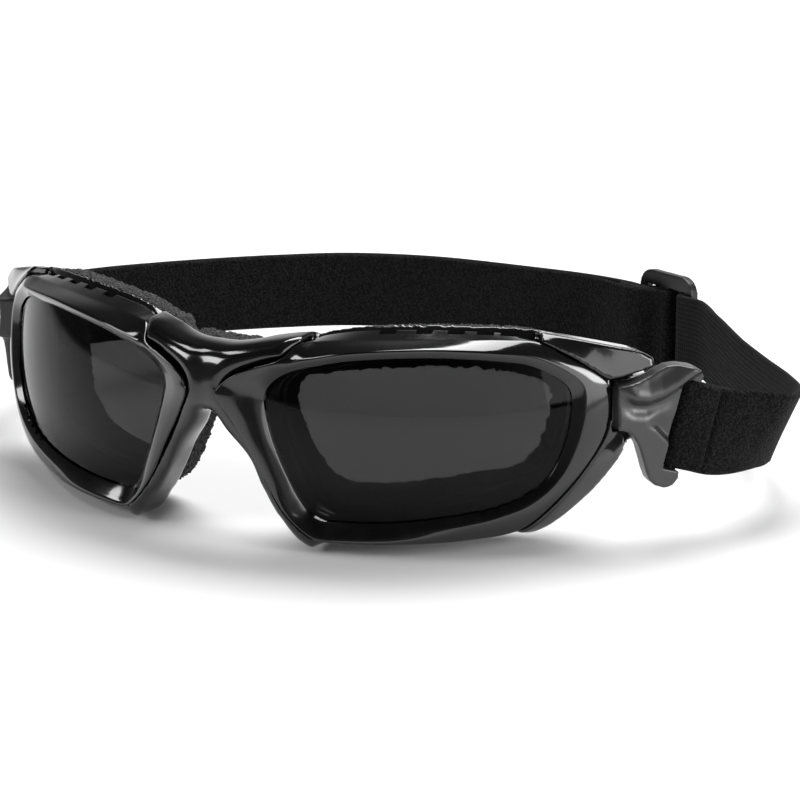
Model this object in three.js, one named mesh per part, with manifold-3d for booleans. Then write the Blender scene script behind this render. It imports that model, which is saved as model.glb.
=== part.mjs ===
// Motorcycle goggles: a one-piece chassis that carries two lens rims, two tinted lenses, two gasket
// carriers with one foam gasket, and an elastic strap on two hinged clips, joined by a tri-glide slider.
//
// Built in the goggles' own frame, in millimetres: X across the face, Y from the front of the bridge
// towards the back of the head, Z up. Each eye's pieces are built once for the +X side and mirrored.
// The whole assembly is then tipped back by REST_TILT, which is how it lies on a table: on the feet of
// the nose arms at the front and on the lower edge of the slider at the back.

import * as THREE from 'three';
import { mergeVertices } from 'three/addons/utils/BufferGeometryUtils.js';
import Module from 'manifold-3d';

const wasm = await Module();
wasm.setup();

// ---- driving dimensions (mm) -------------------------------------------------------------------
const REST_TILT = THREE.MathUtils.degToRad(6.8);
const GAP = 0.3;                    // clearance between touching pieces
const FLATNESS = 0.03;              // facets closer than this to one surface are merged

// Both faces of a lens lie on spheres about this centre, which wraps the front round the face.
const LENS_CENTRE = new THREE.Vector3(15.4, 78.5, 18.9);
const LENS_RADIUS = 73.5;
const LENS_THICKNESS = 2.0;
const LENS_LIP = 0.8;               // how far the lens edge reaches into the rim's groove

// Stations round one eye, inner corner first, then over the brow:
// lens opening x, z; rim edge x, z; how far the rim edge stands in front of the lens sphere;
// how far the rim widens from its front edge to its back edge;
// how far the chassis behind it spreads further out, and how deep the chassis reaches behind that edge.
const EYE_STATIONS = [
  [12.5, 23.8, 3.6, 24.9, 6.1, 0.0, 0.0, 8.2],
  [12.7, 25.3, 4.6, 27.0, 5.6, 0.0, 0.0, 8.4],
  [13.5, 26.7, 7.4, 29.1, 5.0, 0.0, 0.0, 8.8],
  [15.7, 28.7, 11.6, 31.0, 3.8, 0.0, 0.0, 9.0],
  [18.1, 30.0, 16.4, 32.8, 2.2, 0.0, 0.0, 9.0],
  [21.0, 31.1, 18.9, 35.6, -1.0, 0.6, 0.0, 7.6],
  [24.2, 31.9, 22.6, 36.2, -2.4, 1.6, 0.1, 6.0],
  [30.9, 33.4, 30.6, 37.0, -3.0, 2.2, 0.2, 6.0],
  [46.0, 34.8, 45.8, 37.9, -2.6, 2.2, 0.2, 6.0],
  [57.9, 34.2, 57.6, 38.2, -0.8, 1.8, 0.2, 6.0],
  [62.2, 33.4, 63.6, 37.9, 0.6, 0.6, 0.2, 6.6],
  [65.7, 31.5, 68.6, 34.9, 1.8, 0.0, 0.4, 6.6],
  [68.4, 29.0, 73.2, 31.6, 2.6, 0.0, 0.0, 5.4],
  [69.2, 26.4, 75.2, 28.8, 3.0, 0.0, 0.0, 5.0],
  [68.6, 18.4, 75.2, 20.2, 3.2, 0.0, 2.0, 3.6],
  [65.9, 10.9, 72.4, 13.0, 3.0, 0.0, 3.6, 9.2],
  [61.5, 6.9, 66.6, 4.6, 2.7, 0.0, 2.6, 6.0],
  [57.6, 5.1, 61.5, 0.0, 2.3, 0.0, 1.6, 5.2],
  [53.1, 3.7, 53.3, -2.0, 2.2, 0.0, 0.0, 6.8],
  [40.3, 1.3, 41.4, -3.2, 3.2, 0.0, 0.0, 6.8],
  [28.0, 0.2, 29.9, -3.9, 3.4, 0.0, 0.0, 7.6],
  [23.9, 0.2, 23.8, -3.9, 3.4, 0.0, 0.0, 8.4],
  [21.8, 1.3, 20.8, -1.9, 3.4, 0.0, 0.0, 8.8],
  [19.8, 4.0, 17.4, 1.5, 3.2, 0.0, 0.0, 8.6],
  [17.9, 7.8, 14.4, 5.8, 2.6, 0.0, 0.0, 8.2],
  [15.6, 13.0, 10.9, 12.4, 2.6, 0.0, 0.0, 8.0],
  [13.7, 18.2, 6.6, 19.3, 3.8, 0.0, 0.0, 8.0],
];
const STATION_STEPS = 2;            // samples per station
const RIM_DEPTH = 4.0;              // front edge to back edge of a rim, at its outline
const RIM_LIP_DEPTH = 1.3;          // rim material behind the lens edge
const RING_DEPTH = 2.8;             // chassis ring behind the lens edge
const CARRIER_THICKNESS = 1.5;
const FOAM_DEPTH = 7.5;
const VENT_COUNT = 5;
const VENT_SIZE = new THREE.Vector3(3.4, 2.4, 1.6);

// Bridge and the two arms that run down from it beside the nose
const BRIDGE_HALF_WIDTH = 18.9;
const BRIDGE_DEPTH = 7.2;
const NOSE_ARM_DEPTHS = [7.8, 7.8, 7.8, 8.2, 9.0, 9.5, 9.5]; // at each point of LOWER_SEAM
const NOSE_ARM_WIDTHS = [3.5, 4.2, 2.6, 2.3, 2.3, 2.9, 2.9];

// Clip hinge: the axis is vertical. The clip's plane runs from HINGE_FRONT along CLIP_HEADING.
const HINGE_FRONT = new THREE.Vector3(75.6, 32.6, 0);
const CLIP_HEADING = new THREE.Vector3(0.675, 0.738, 0).normalize();
const CLIP_OUTWARD = new THREE.Vector3(CLIP_HEADING.y, -CLIP_HEADING.x, 0);
const HINGE_SETBACK = 4.4;          // hinge axis behind HINGE_FRONT, along the clip
const HINGE_INSET = 5.3;            // hinge axis inside the clip's outer face
const FOLDED = new Map([[1, 0], [-1, THREE.MathUtils.degToRad(20)]]); // how far each clip lies folded in
const BARREL_RADIUS = 2.4;
const BARREL_BOTTOM = 20.3;
const BARREL_TOP = 29.2;
const PIN_RADIUS = 1.0;
const PIN_HEAD_RADIUS = 1.4;
const PIN_HEAD_HEIGHT = 0.5;
const LUG_HEIGHT = 3.0;
const CLIP_THICKNESS = 4.0;

// Strap webbing
const STRAP_WIDTH = 17.6;
const STRAP_THICKNESS = 1.3;
const BAR_LEAN = THREE.MathUtils.degToRad(15); // the strap bar leans back at its top
const LAYER_PITCH = 1.6;            // between the centres of two layers of webbing that lie together
const SLIDER_LENGTH = 19;
const SLIDER_HEIGHT = 25;
const SLIDER_THICKNESS = 2.0;
const SLIDER_BAR = 2.5;
const SLIDER_CORNER = 4.0;
const SLIDER_CENTRE = new THREE.Vector3(41.0, 125.5, 20.0);
const SLIDER_HEADING = new THREE.Vector3(-0.906, 0.423, 0).normalize();

// ---- solids ------------------------------------------------------------------------------------
// A closed mesh as a solid, turned to face outwards whichever way its outline ran.
function toSolid(geometry) {
  const bare = new THREE.BufferGeometry();
  const source = geometry.index ? geometry.toNonIndexed() : geometry;
  bare.setAttribute('position', source.getAttribute('position').clone());
  const merged = mergeVertices(bare, 1e-4);
  const place = merged.attributes.position;
  const corners = merged.index.array;
  const [a, b, c] = [new THREE.Vector3(), new THREE.Vector3(), new THREE.Vector3()];
  let volume = 0;
  for (let i = 0; i < corners.length; i += 3) {
    a.fromBufferAttribute(place, corners[i]);
    b.fromBufferAttribute(place, corners[i + 1]);
    c.fromBufferAttribute(place, corners[i + 2]);
    volume += a.dot(b.cross(c));
  }
  return new wasm.Manifold(new wasm.Mesh({
    numProp: 3,
    vertProperties: place.array,
    triVerts: new Uint32Array(volume < 0 ? corners.slice().reverse() : corners),
  }));
}

function toGeometry(solid) {
  const mesh = solid.getMesh();
  const geometry = new THREE.BufferGeometry();
  const positions = new Float32Array(mesh.numVert * 3);
  for (let i = 0; i < mesh.numVert; i += 1) {
    for (let k = 0; k < 3; k += 1) positions[i * 3 + k] = mesh.vertProperties[i * mesh.numProp + k];
  }
  geometry.setAttribute('position', new THREE.BufferAttribute(positions, 3));
  geometry.setIndex(new THREE.BufferAttribute(new Uint32Array(mesh.triVerts), 1));
  geometry.computeVertexNormals();
  return geometry;
}

// A closed body through sections of equal length; the last section joins the first if it is a ring.
function loft(sections, isRing = false) {
  const across = sections[0].length;
  const points = sections.flat();
  const faces = [];
  const spans = isRing ? sections.length : sections.length - 1;
  for (let s = 0; s < spans; s += 1) {
    const next = (s + 1) % sections.length;
    for (let k = 0; k < across; k += 1) {
      const a = s * across + k;
      const b = s * across + (k + 1) % across;
      const c = next * across + (k + 1) % across;
      const d = next * across + k;
      faces.push(a, b, c, a, c, d);
    }
  }
  if (!isRing) {
    for (const [start, flip] of [[0, true], [(sections.length - 1) * across, false]]) {
      for (let k = 1; k < across - 1; k += 1) {
        if (flip) faces.push(start, start + k + 1, start + k);
        else faces.push(start, start + k, start + k + 1);
      }
    }
  }
  const geometry = new THREE.BufferGeometry().setFromPoints(points);
  geometry.setIndex(faces);
  return toSolid(geometry);
}

// A flat outline in the clip's or the strap's upright plane, thickened between two outward offsets.
function plate(outline, toWorld, inner, outer) {
  const shape = new THREE.Shape(outline.map(([u, z]) => new THREE.Vector2(u, z)));
  const geometry = new THREE.ExtrudeGeometry(shape, { depth: outer - inner, bevelEnabled: false });
  const place = geometry.getAttribute('position');
  for (let i = 0; i < place.count; i += 1) {
    const world = toWorld(place.getX(i), place.getZ(i) + inner, place.getY(i));
    place.setXYZ(i, world.x, world.y, world.z);
  }
  return toSolid(geometry);
}

function post(centre, radius, bottom, top, sides = 20) {
  const geometry = new THREE.CylinderGeometry(radius, radius, top - bottom, sides);
  geometry.rotateX(Math.PI / 2);
  geometry.translate(centre.x, centre.y, (top + bottom) / 2);
  return toSolid(geometry);
}

// ---- one eye's surfaces ------------------------------------------------------------------------
const openingCurve = new THREE.CatmullRomCurve3(
  EYE_STATIONS.map(([x, z]) => new THREE.Vector3(x, 0, z)), true, 'centripetal');
const edgeCurve = new THREE.CatmullRomCurve3(
  EYE_STATIONS.map(([, , x, z, proud]) => new THREE.Vector3(x, proud, z)), true, 'centripetal');
const shapeCurve = new THREE.CatmullRomCurve3(
  EYE_STATIONS.map(([, , , , , flare, spread, depth]) => new THREE.Vector3(flare, spread, depth)), true);
const STEPS = EYE_STATIONS.length * STATION_STEPS;

function onLensSphere(x, z) {
  const rise = LENS_RADIUS ** 2 - (x - LENS_CENTRE.x) ** 2 - (z - LENS_CENTRE.z) ** 2;
  return new THREE.Vector3(x, LENS_CENTRE.y - Math.sqrt(rise), z);
}

function deeper(point, depth) {
  const inward = LENS_CENTRE.clone().sub(point).normalize();
  return point.clone().addScaledVector(inward, depth);
}

// The frame of one station: the lens opening, the rim's front edge, and the way out between them.
function station(step) {
  const t = step / STEPS;
  const opening = openingCurve.getPoint(t);
  const edge = edgeCurve.getPoint(t);
  const shape = shapeCurve.getPoint(t);
  const way = new THREE.Vector3(edge.x - opening.x, 0, edge.z - opening.z).normalize();
  const front = onLensSphere(edge.x, edge.z);
  front.y -= edge.y;
  return {
    way,
    front,
    flare: shape.x,
    spread: shape.y,
    depth: shape.z,
    atLens(out, depth) {
      return deeper(onLensSphere(opening.x + way.x * out, opening.z + way.z * out), depth);
    },
    atEdge(out, depth) {
      return deeper(front, depth).addScaledVector(way, out);
    },
    // The back of the chassis ring, from the lens side (0) to the outside (1), and behind it.
    behind(share, depth) {
      const inner = this.atLens(0.8, RIM_BACK + GAP + RING_DEPTH);
      const seat = inner.lerp(ringBack(this), share);
      const inward = LENS_CENTRE.clone().sub(front).normalize();
      const facing = inward.lerp(new THREE.Vector3(0, 1, 0), 0.6).normalize();
      return seat.addScaledVector(facing, depth);
    },
  };
}

// A ring round the eye whose section at each station is given by a function of the station.
function eyeRing(section, side) {
  const sections = [];
  for (let step = 0; step < STEPS; step += 1) {
    sections.push(section(station(step)).map((p) => new THREE.Vector3(p.x * side, p.y, p.z)));
  }
  return loft(sections, true);
}

function smoothstep(low, high, x) {
  const t = Math.min(1, Math.max(0, (x - low) / (high - low)));
  return t * t * (3 - 2 * t);
}

// ---- front frame: rims, lenses, chassis ----------------------------------------------------------
const CREST_OUT = 1.5;              // the rim's crest, outward from the lens opening
const CREST_PROUD = 1.9;
const GROOVE_OUT = LENS_LIP + GAP;
const RIM_BACK = LENS_THICKNESS + GAP + RIM_LIP_DEPTH;

function rim(side) {
  const body = eyeRing((s) => {
    const crest = s.atLens(CREST_OUT, -CREST_PROUD);
    const crown = crest.clone().lerp(s.front, 0.55);
    crown.y -= 0.35;
    return [
      s.atLens(0, -GAP),
      crest,
      crown,
      s.front,
      s.atEdge(s.flare, RIM_DEPTH),
      s.atLens(CREST_OUT, RIM_BACK),
      s.atLens(0.2, RIM_BACK),
      s.atLens(0.2, LENS_THICKNESS + GAP),
      s.atLens(GROOVE_OUT, LENS_THICKNESS + GAP),
      s.atLens(GROOVE_OUT, -GAP),
    ];
  }, side);
  return body.subtract(ventCutters(side));
}

// Notches in the back edge of the brow and of the lower outer edge let air past the lens.
function ventCutters(side) {
  const cutters = [];
  for (const [first, last] of [[7.35, 9.2], [16.0, 18.6]]) {
    for (let i = 0; i < VENT_COUNT; i += 1) {
      const along = first + (last - first) * i / (VENT_COUNT - 1);
      const s = station(along * STATION_STEPS);
      const middle = s.atEdge(s.flare, RIM_DEPTH - 0.5);
      const next = station(along * STATION_STEPS + 0.3);
      const heading = next.atEdge(next.flare, RIM_DEPTH - 0.5).sub(middle).normalize();
      const inward = LENS_CENTRE.clone().sub(middle).normalize();
      const upward = new THREE.Vector3().crossVectors(inward, heading).normalize();
      inward.crossVectors(heading, upward);
      const box = new THREE.BoxGeometry(VENT_SIZE.x, VENT_SIZE.y, VENT_SIZE.z);
      box.applyMatrix4(new THREE.Matrix4().makeBasis(heading, upward, inward));
      box.translate(middle.x, middle.y, middle.z);
      box.scale(side, 1, 1);
      cutters.push(toSolid(box));
    }
  }
  return wasm.Manifold.union(cutters);
}

function lens(side) {
  const outline = [];
  for (let step = 0; step < STEPS; step += 1) outline.push(station(step));
  const layers = 4;                 // rings of facets from the edge to the middle
  const middle = new THREE.Vector2(41, 17.5);
  const points = [];
  for (const depth of [0, LENS_THICKNESS]) {
    for (let ring = 0; ring < layers; ring += 1) {
      const share = 1 - ring / layers;
      for (const s of outline) {
        const edge = s.atLens(LENS_LIP, 0);
        const x = middle.x + (edge.x - middle.x) * share;
        const z = middle.y + (edge.z - middle.y) * share;
        points.push(deeper(onLensSphere(x, z), depth));
      }
    }
    points.push(deeper(onLensSphere(middle.x, middle.y), depth));
  }
  const faces = [];
  const block = layers * STEPS + 1;
  for (const base of [0, block]) {
    for (let ring = 0; ring < layers; ring += 1) {
      for (let step = 0; step < STEPS; step += 1) {
        const a = base + ring * STEPS + step;
        const b = base + ring * STEPS + (step + 1) % STEPS;
        const c = ring + 1 < layers ? b + STEPS : base + block - 1;
        const triangles = ring + 1 < layers ? [a, b, c, a, c, a + STEPS] : [a, b, c];
        faces.push(...(base ? triangles.reverse() : triangles));
      }
    }
  }
  for (let step = 0; step < STEPS; step += 1) {
    const next = (step + 1) % STEPS;
    faces.push(step, block + step, block + next, step, block + next, next);
  }
  const geometry = new THREE.BufferGeometry().setFromPoints(points);
  geometry.setIndex(faces);
  geometry.scale(side, 1, 1);
  return toSolid(geometry);
}

function lapAt(s) {
  return 1.6 * (1 - smoothstep(17, 20, s.front.x)); // runs into the bridge and nose arm
}

function ringBack(s) {
  const back = s.front.clone().addScaledVector(s.way, s.flare + lapAt(s) + s.spread);
  back.y += s.depth;
  return back;
}

// The chassis ring behind the rim. At the temple it comes forward round the rim as the side wall.
function chassisRing(side) {
  return eyeRing((s) => {
    const wall = smoothstep(0.6, 1.6, s.spread) * smoothstep(58, 62, s.front.x);
    const shoulder = s.atEdge(s.flare + lapAt(s), RIM_DEPTH + GAP).lerp(s.atEdge(GAP + 0.4, 0.2), wall);
    return [s.atLens(0.8, RIM_BACK + GAP), shoulder, ringBack(s), s.behind(0, 0)];
  }, side);
}

// How far across the chassis ring the gasket reaches: nearly all of it at the nose, half at the hinge.
function gasketReach(s) {
  return 0.86 + 0.06 * (1 - smoothstep(14, 22, s.front.x)) - 0.4 * smoothstep(58, 70, s.front.x);
}

// How far the gasket reaches in over the lens: most above and below, least at the nose.
function gasketInset(s) {
  return -0.3 + 0.5 * s.way.x - 0.6 * s.way.z + 2.5 * s.way.z * s.way.z;
}

const CARRIER_FRONT = GAP;
const FOAM_FRONT = GAP + CARRIER_THICKNESS + GAP;

function gasketCarrier(side) {
  const lensDepth = RIM_BACK + GAP + RING_DEPTH;
  return eyeRing((s) => {
    const inset = Math.min(Math.max(gasketInset(s) - 0.5, -0.7), 0.4);
    const reach = gasketReach(s) - 0.06;
    return [
      s.atLens(-inset, lensDepth + CARRIER_FRONT),
      s.behind(0, CARRIER_FRONT),
      s.behind(reach, CARRIER_FRONT),
      s.behind(reach, CARRIER_FRONT + CARRIER_THICKNESS),
      s.behind(0, CARRIER_FRONT + CARRIER_THICKNESS),
      s.atLens(-inset, lensDepth + CARRIER_FRONT + CARRIER_THICKNESS),
    ];
  }, side);
}

function foamRing(side) {
  const lensDepth = RIM_BACK + GAP + RING_DEPTH;
  return eyeRing((s) => {
    const inset = gasketInset(s);
    const reach = gasketReach(s);
    const hollow = 0.65 * Math.max(-s.way.x, 0) - 0.2;
    return [
      s.atLens(-inset, lensDepth + FOAM_FRONT),
      s.behind(0, FOAM_FRONT),
      s.behind(reach, FOAM_FRONT),
      s.behind(reach * 0.98, FOAM_FRONT + FOAM_DEPTH * 0.7),
      s.behind(reach * 0.7, FOAM_FRONT + FOAM_DEPTH),
      s.behind(hollow, FOAM_FRONT + FOAM_DEPTH * 0.95),
      s.atLens(-inset, lensDepth + FOAM_FRONT + FOAM_DEPTH * 0.6),
    ];
  }, side);
}

// The space that a rim and its way out to the front need, cut out of the chassis.
function rimPocket(side) {
  const way = 16;
  return eyeRing((s) => {
    const edge = s.atEdge(GAP, 0);
    const opening = s.atLens(0.4, 0);
    return [
      new THREE.Vector3(opening.x, opening.y - way, opening.z),
      new THREE.Vector3(edge.x, edge.y - way, edge.z),
      edge,
      s.atEdge(s.flare + GAP, RIM_DEPTH),
      s.atEdge(s.flare + GAP, RIM_DEPTH + GAP),
      s.atLens(CREST_OUT, RIM_BACK + GAP),
      s.atLens(0.4, RIM_BACK + GAP),
    ];
  }, side);
}

// Seam between bridge and rim, from its top corner to its innermost point: x, y, z.
const UPPER_SEAM = [
  [19.2, 9.4, 36.2], [16.6, 4.4, 32.9], [11.6, 2.2, 31.0], [7.4, 1.2, 29.1], [4.6, 0.4, 27.0],
  [3.6, 0.0, 24.9],
];
// The same seam from there down the nose arm.
const LOWER_SEAM = [
  [3.6, 0.0, 24.9], [6.6, 1.6, 19.3], [10.9, 3.2, 12.4], [14.4, 3.8, 5.8], [17.4, 3.9, 1.5],
  [20.8, 4.6, -1.9], [23.8, 5.7, -4.0],
];
const BRIDGE_CREST = [0, 3.0, 34.4];    // top of the bridge on the midplane
const BRIDGE_ARCH = 20.6;               // underside of the bridge on the midplane
const BRIDGE_SETBACK = 1.3;             // and how far that lies behind the seam's innermost point

function seamAt(x) {
  for (let i = 1; i < UPPER_SEAM.length; i += 1) {
    const [outer, inner] = [UPPER_SEAM[i - 1], UPPER_SEAM[i]];
    if (x >= inner[0]) {
      const t = Math.min(1, (x - inner[0]) / (outer[0] - inner[0]));
      return [inner[1] + (outer[1] - inner[1]) * t, inner[2] + (outer[2] - inner[2]) * t];
    }
  }
  return [0, BRIDGE_ARCH + (UPPER_SEAM.at(-1)[2] - BRIDGE_ARCH) * smoothstep(1.6, 3.6, x)];
}

function bridge() {
  const sections = [];
  const count = 24;
  for (let i = 0; i <= count; i += 1) {
    const x = BRIDGE_HALF_WIDTH * (2 * i / count - 1);
    const reach = Math.abs(x) / BRIDGE_HALF_WIDTH;
    const [seamY, seamZ] = seamAt(Math.abs(x));
    const topZ = BRIDGE_CREST[2] + 2.4 * smoothstep(0.1, 1, reach);
    const topY = BRIDGE_CREST[1] + 6.6 * reach * reach;
    const lowZ = Math.min(seamZ + 0.2, topZ - 1.2);
    const lowY = Math.min(Math.max(seamY, BRIDGE_SETBACK * (1 - reach * 6)), topY);
    const creaseZ = lowZ + (topZ - lowZ) * 0.72;
    const creaseY = lowY + (topY - lowY) * 0.4 - 0.5 * (1 - reach);
    const back = topY + BRIDGE_DEPTH - 2 * reach;
    sections.push([
      new THREE.Vector3(x, lowY, lowZ),
      new THREE.Vector3(x, creaseY, creaseZ),
      new THREE.Vector3(x, topY, topZ),
      new THREE.Vector3(x, back, topZ + 0.4),
      new THREE.Vector3(x, back, lowZ + 0.5),
    ]);
  }
  return loft(sections);
}

function noseArm(side) {
  const sections = LOWER_SEAM.map(([x, y, z], i) => {
    const before = LOWER_SEAM[Math.max(0, i - 1)];
    const after = LOWER_SEAM[Math.min(LOWER_SEAM.length - 1, i + 1)];
    const run = new THREE.Vector3(after[0] - before[0], 0, after[2] - before[2]).normalize();
    const inward = new THREE.Vector3(run.z, 0, -run.x);
    const seam = new THREE.Vector3(x, y, z);
    const edge = seam.clone().addScaledVector(inward, NOSE_ARM_WIDTHS[i]);
    const corner = seam.clone().addScaledVector(inward, -1.2);
    const back = new THREE.Vector3(0, NOSE_ARM_DEPTHS[i], 0);
    return [corner, seam, edge.clone().setY(y + 0.9), edge.clone().add(back), corner.clone().add(back)]
      .map((p) => new THREE.Vector3(p.x * side, p.y, p.z));
  });
  return loft(sections);
}

// The end piece: a wedge that runs back over the clip's hinge. Each section is its lower front,
// upper front, upper back and lower back corner.
const END_PIECE = [
  [[64.6, 25.2, 38.2], [63.2, 27.2, 39.7], [58.5, 33.0, 38.6], [60.0, 30.0, 36.5]],
  [[70.2, 29.3, 34.4], [69.2, 31.0, 38.3], [64.5, 37.0, 37.4], [66.0, 35.0, 33.2]],
  [[75.6, 33.4, 30.2], [75.2, 35.0, 36.8], [71.0, 40.5, 36.2], [71.6, 38.8, 30.6]],
  [[79.2, 36.9, 31.2], [78.9, 38.2, 35.7], [75.2, 42.8, 35.2], [75.8, 41.6, 31.4]],
  [[81.8, 39.6, 32.3], [81.5, 40.4, 34.1], [79.4, 42.6, 33.8], [79.7, 41.9, 32.5]],
];

function endPiece(side) {
  return loft(END_PIECE.map((section) => section.map(([x, y, z]) => new THREE.Vector3(x * side, y, z))));
}

// ---- clip hinge ----------------------------------------------------------------------------------
// A point in the clip's own directions: along the clip, outward, up.
function atClip(side) {
  return (along, out, z) => {
    const p = HINGE_FRONT.clone().addScaledVector(CLIP_HEADING, along).addScaledVector(CLIP_OUTWARD, out);
    return new THREE.Vector3(p.x * side, p.y, z);
  };
}

// The same for the clip as it lies, turned inward about its hinge axis.
function atFoldedClip(side) {
  const place = atClip(side);
  const axis = place(HINGE_SETBACK, -HINGE_INSET, 0);
  const up = new THREE.Vector3(0, 0, 1);
  const turn = side * FOLDED.get(side);
  return (along, out, z) => place(along, out, z).sub(axis).applyAxisAngle(up, turn).add(axis);
}

// Bottom and top of the lug below the barrel and of the one above it.
const LUGS = [
  [BARREL_BOTTOM - GAP - LUG_HEIGHT, BARREL_BOTTOM - GAP],
  [BARREL_TOP + GAP, BARREL_TOP + GAP + LUG_HEIGHT],
];
const LUG_ROOT = -4.0;              // how far along the clip a lug runs into the chassis

function hingeLugs(side) {
  const place = atClip(side);
  const lugs = LUGS.map(([bottom, top]) => {
    const outline = [];
    for (let i = 0; i <= 8; i += 1) {
      const angle = -Math.PI / 2 + Math.PI * i / 8;
      outline.push([
        HINGE_SETBACK + BARREL_RADIUS * Math.cos(angle),
        -HINGE_INSET + BARREL_RADIUS * Math.sin(angle),
      ]);
    }
    outline.push([LUG_ROOT, -HINGE_INSET + BARREL_RADIUS], [LUG_ROOT, -HINGE_INSET - BARREL_RADIUS - 1.0]);
    const sections = [bottom, top].map((z) => outline.map(([along, out]) => place(along, out, z)));
    return loft(sections);
  });
  return wasm.Manifold.union(lugs);
}

// The strap bar stands in the clip's plane and leans back at its top. A point near it, as a distance
// behind the bar's middle line and a distance up along the bar, in the clip's along and height.
const BAR_MIDDLE = [16.1, 20.2];
function atBar(behind, up) {
  const [c, s] = [Math.cos(BAR_LEAN), Math.sin(BAR_LEAN)];
  return [BAR_MIDDLE[0] + behind * c + up * s, BAR_MIDDLE[1] - behind * s + up * c];
}

const BAR_HALF_WIDTH = 0.75;
const BAR_INNER = -2.3;
const BAR_OUTER = -0.6;
const SLOT_FRONT = -2.9;
const SLOT_HALF = STRAP_WIDTH / 2 + GAP;
const CLIP_INNER = -2.6;
const CLIP_OUTER = CLIP_INNER + CLIP_THICKNESS;
const CLIP_OUTLINE = [
  [1.6, 20.3], [2.6, 20.3], [3.8, 19.9], [5.0, 18.7], [6.0, 16.8], [6.7, 14.6], [7.4, 12.1], [8.2, 9.9],
  [9.4, 8.7], [11.5, 8.0], [13.2, 8.4], [14.4, 9.9], atBar(BAR_HALF_WIDTH, -SLOT_HALF),
  atBar(BAR_HALF_WIDTH, SLOT_HALF), [19.8, 30.0], [18.6, 31.7], [16.9, 32.5], [13.9, 33.0],
  [11.8, 32.8], [9.8, 31.9], [8.2, 31.0], [5.7, 30.1], [3.0, 29.4], [1.6, 29.2],
];

function clip(side) {
  const place = atFoldedClip(side);
  const window = (front, back) => [
    atBar(front, -SLOT_HALF), atBar(back, -SLOT_HALF), atBar(back, SLOT_HALF), atBar(front, SLOT_HALF),
  ];
  const slot = window(SLOT_FRONT, -BAR_HALF_WIDTH);
  const relief = window(SLOT_FRONT, 4 * BAR_HALF_WIDTH);
  const axis = place(HINGE_SETBACK, -HINGE_INSET, 0);
  const web = [[2.4, BARREL_BOTTOM], [6.4, BARREL_BOTTOM], [6.4, BARREL_TOP], [2.4, BARREL_TOP]];
  return plate(CLIP_OUTLINE, place, CLIP_INNER, CLIP_OUTER)
    .subtract(plate(slot, place, CLIP_INNER - 1, CLIP_OUTER + 1))
    .add(plate(web, place, -HINGE_INSET, CLIP_INNER + 0.1))
    .subtract(plate(relief, place, BAR_OUTER, CLIP_OUTER + 1))
    .subtract(plate(relief, place, CLIP_INNER - 1, BAR_INNER))
    .add(post(axis, BARREL_RADIUS, BARREL_BOTTOM, BARREL_TOP))
    .subtract(post(axis, PIN_RADIUS + 0.1, BARREL_BOTTOM - 1, BARREL_TOP + 1));
}

function hingePin(side) {
  const axis = atClip(side)(HINGE_SETBACK, -HINGE_INSET, 0);
  const top = LUGS[0][0] - GAP;
  const head = post(axis, PIN_HEAD_RADIUS, top - PIN_HEAD_HEIGHT, top);
  return head.add(post(axis, PIN_RADIUS, top - 0.1, LUGS[1][1] - 0.8));
}

// The room that the barrel and the front of the clip need in the chassis.
function clipRoom(side) {
  const place = atClip(side);
  const axis = place(HINGE_SETBACK, -HINGE_INSET, 0);
  const [bottom, top] = [BARREL_BOTTOM - GAP, BARREL_TOP + GAP];
  const throat = [[1.0, bottom], [12, bottom], [12, top], [1.0, top]];
  const heel = [
    [2.9, top], [2.9, 19.6], [4.1, 18.4], [4.1, bottom - LUG_HEIGHT], [12, bottom - LUG_HEIGHT], [12, top],
  ];
  return post(axis, BARREL_RADIUS + GAP, bottom, top)
    .add(plate(throat, place, -HINGE_INSET, CLIP_OUTER + 3))
    .add(plate(heel, place, CLIP_INNER - GAP, CLIP_OUTER + 3))
    .add(post(axis, PIN_RADIUS + 0.1, LUGS[0][0] - 1, LUGS[1][1] - 0.6));
}

function chassis() {
  const sides = [-1, 1];
  const body = wasm.Manifold.union([
    bridge(),
    ...sides.flatMap((side) => [chassisRing(side), noseArm(side), endPiece(side), hingeLugs(side)]),
  ]);
  const shell = sides.reduce((rest, side) => rest.subtract(rimPocket(side)).subtract(clipRoom(side)), body);
  return shell.subtract(belowTable());
}

// Everything below the plane that the slider's lower edge and the feet of the nose arms lie on.
function belowTable() {
  const lowest = SLIDER_CENTRE.z - SLIDER_HEIGHT / 2;
  const heel = atSlider(SLIDER_LENGTH / 2 - SLIDER_CORNER, SLIDER_THICKNESS / 2, lowest);
  const depth = 20;
  const slab = new THREE.BoxGeometry(200, 400, depth);
  slab.translate(0, 0, -depth / 2);
  slab.rotateX(REST_TILT);
  slab.translate(0, heel.y, heel.z);
  return toSolid(slab);
}

// The gasket is one piece of foam: a ring behind each eye and a pad across the back of the bridge.
const BRIDGE_PAD = { halfWidth: 11, front: 12.0, back: 18.0, bottom: 24.5, top: 33.4 };

function foam() {
  const pad = BRIDGE_PAD;
  const sections = [];
  for (let i = 0; i <= 6; i += 1) {
    const x = pad.halfWidth * (i / 3 - 1);
    const bend = 1.6 * (x / pad.halfWidth) ** 2;
    sections.push([
      new THREE.Vector3(x, pad.front + bend, pad.bottom),
      new THREE.Vector3(x, pad.front + bend, pad.top),
      new THREE.Vector3(x, pad.back + bend - 1.5, pad.top + 0.6),
      new THREE.Vector3(x, pad.back + bend, pad.top - 2),
      new THREE.Vector3(x, pad.back + bend, pad.bottom + 1),
    ]);
  }
  return wasm.Manifold.union([foamRing(-1), foamRing(1), loft(sections)]);
}

// ---- strap ---------------------------------------------------------------------------------------
const WEBBING_STEPS = 3;            // samples from one row of a route to the next

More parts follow.
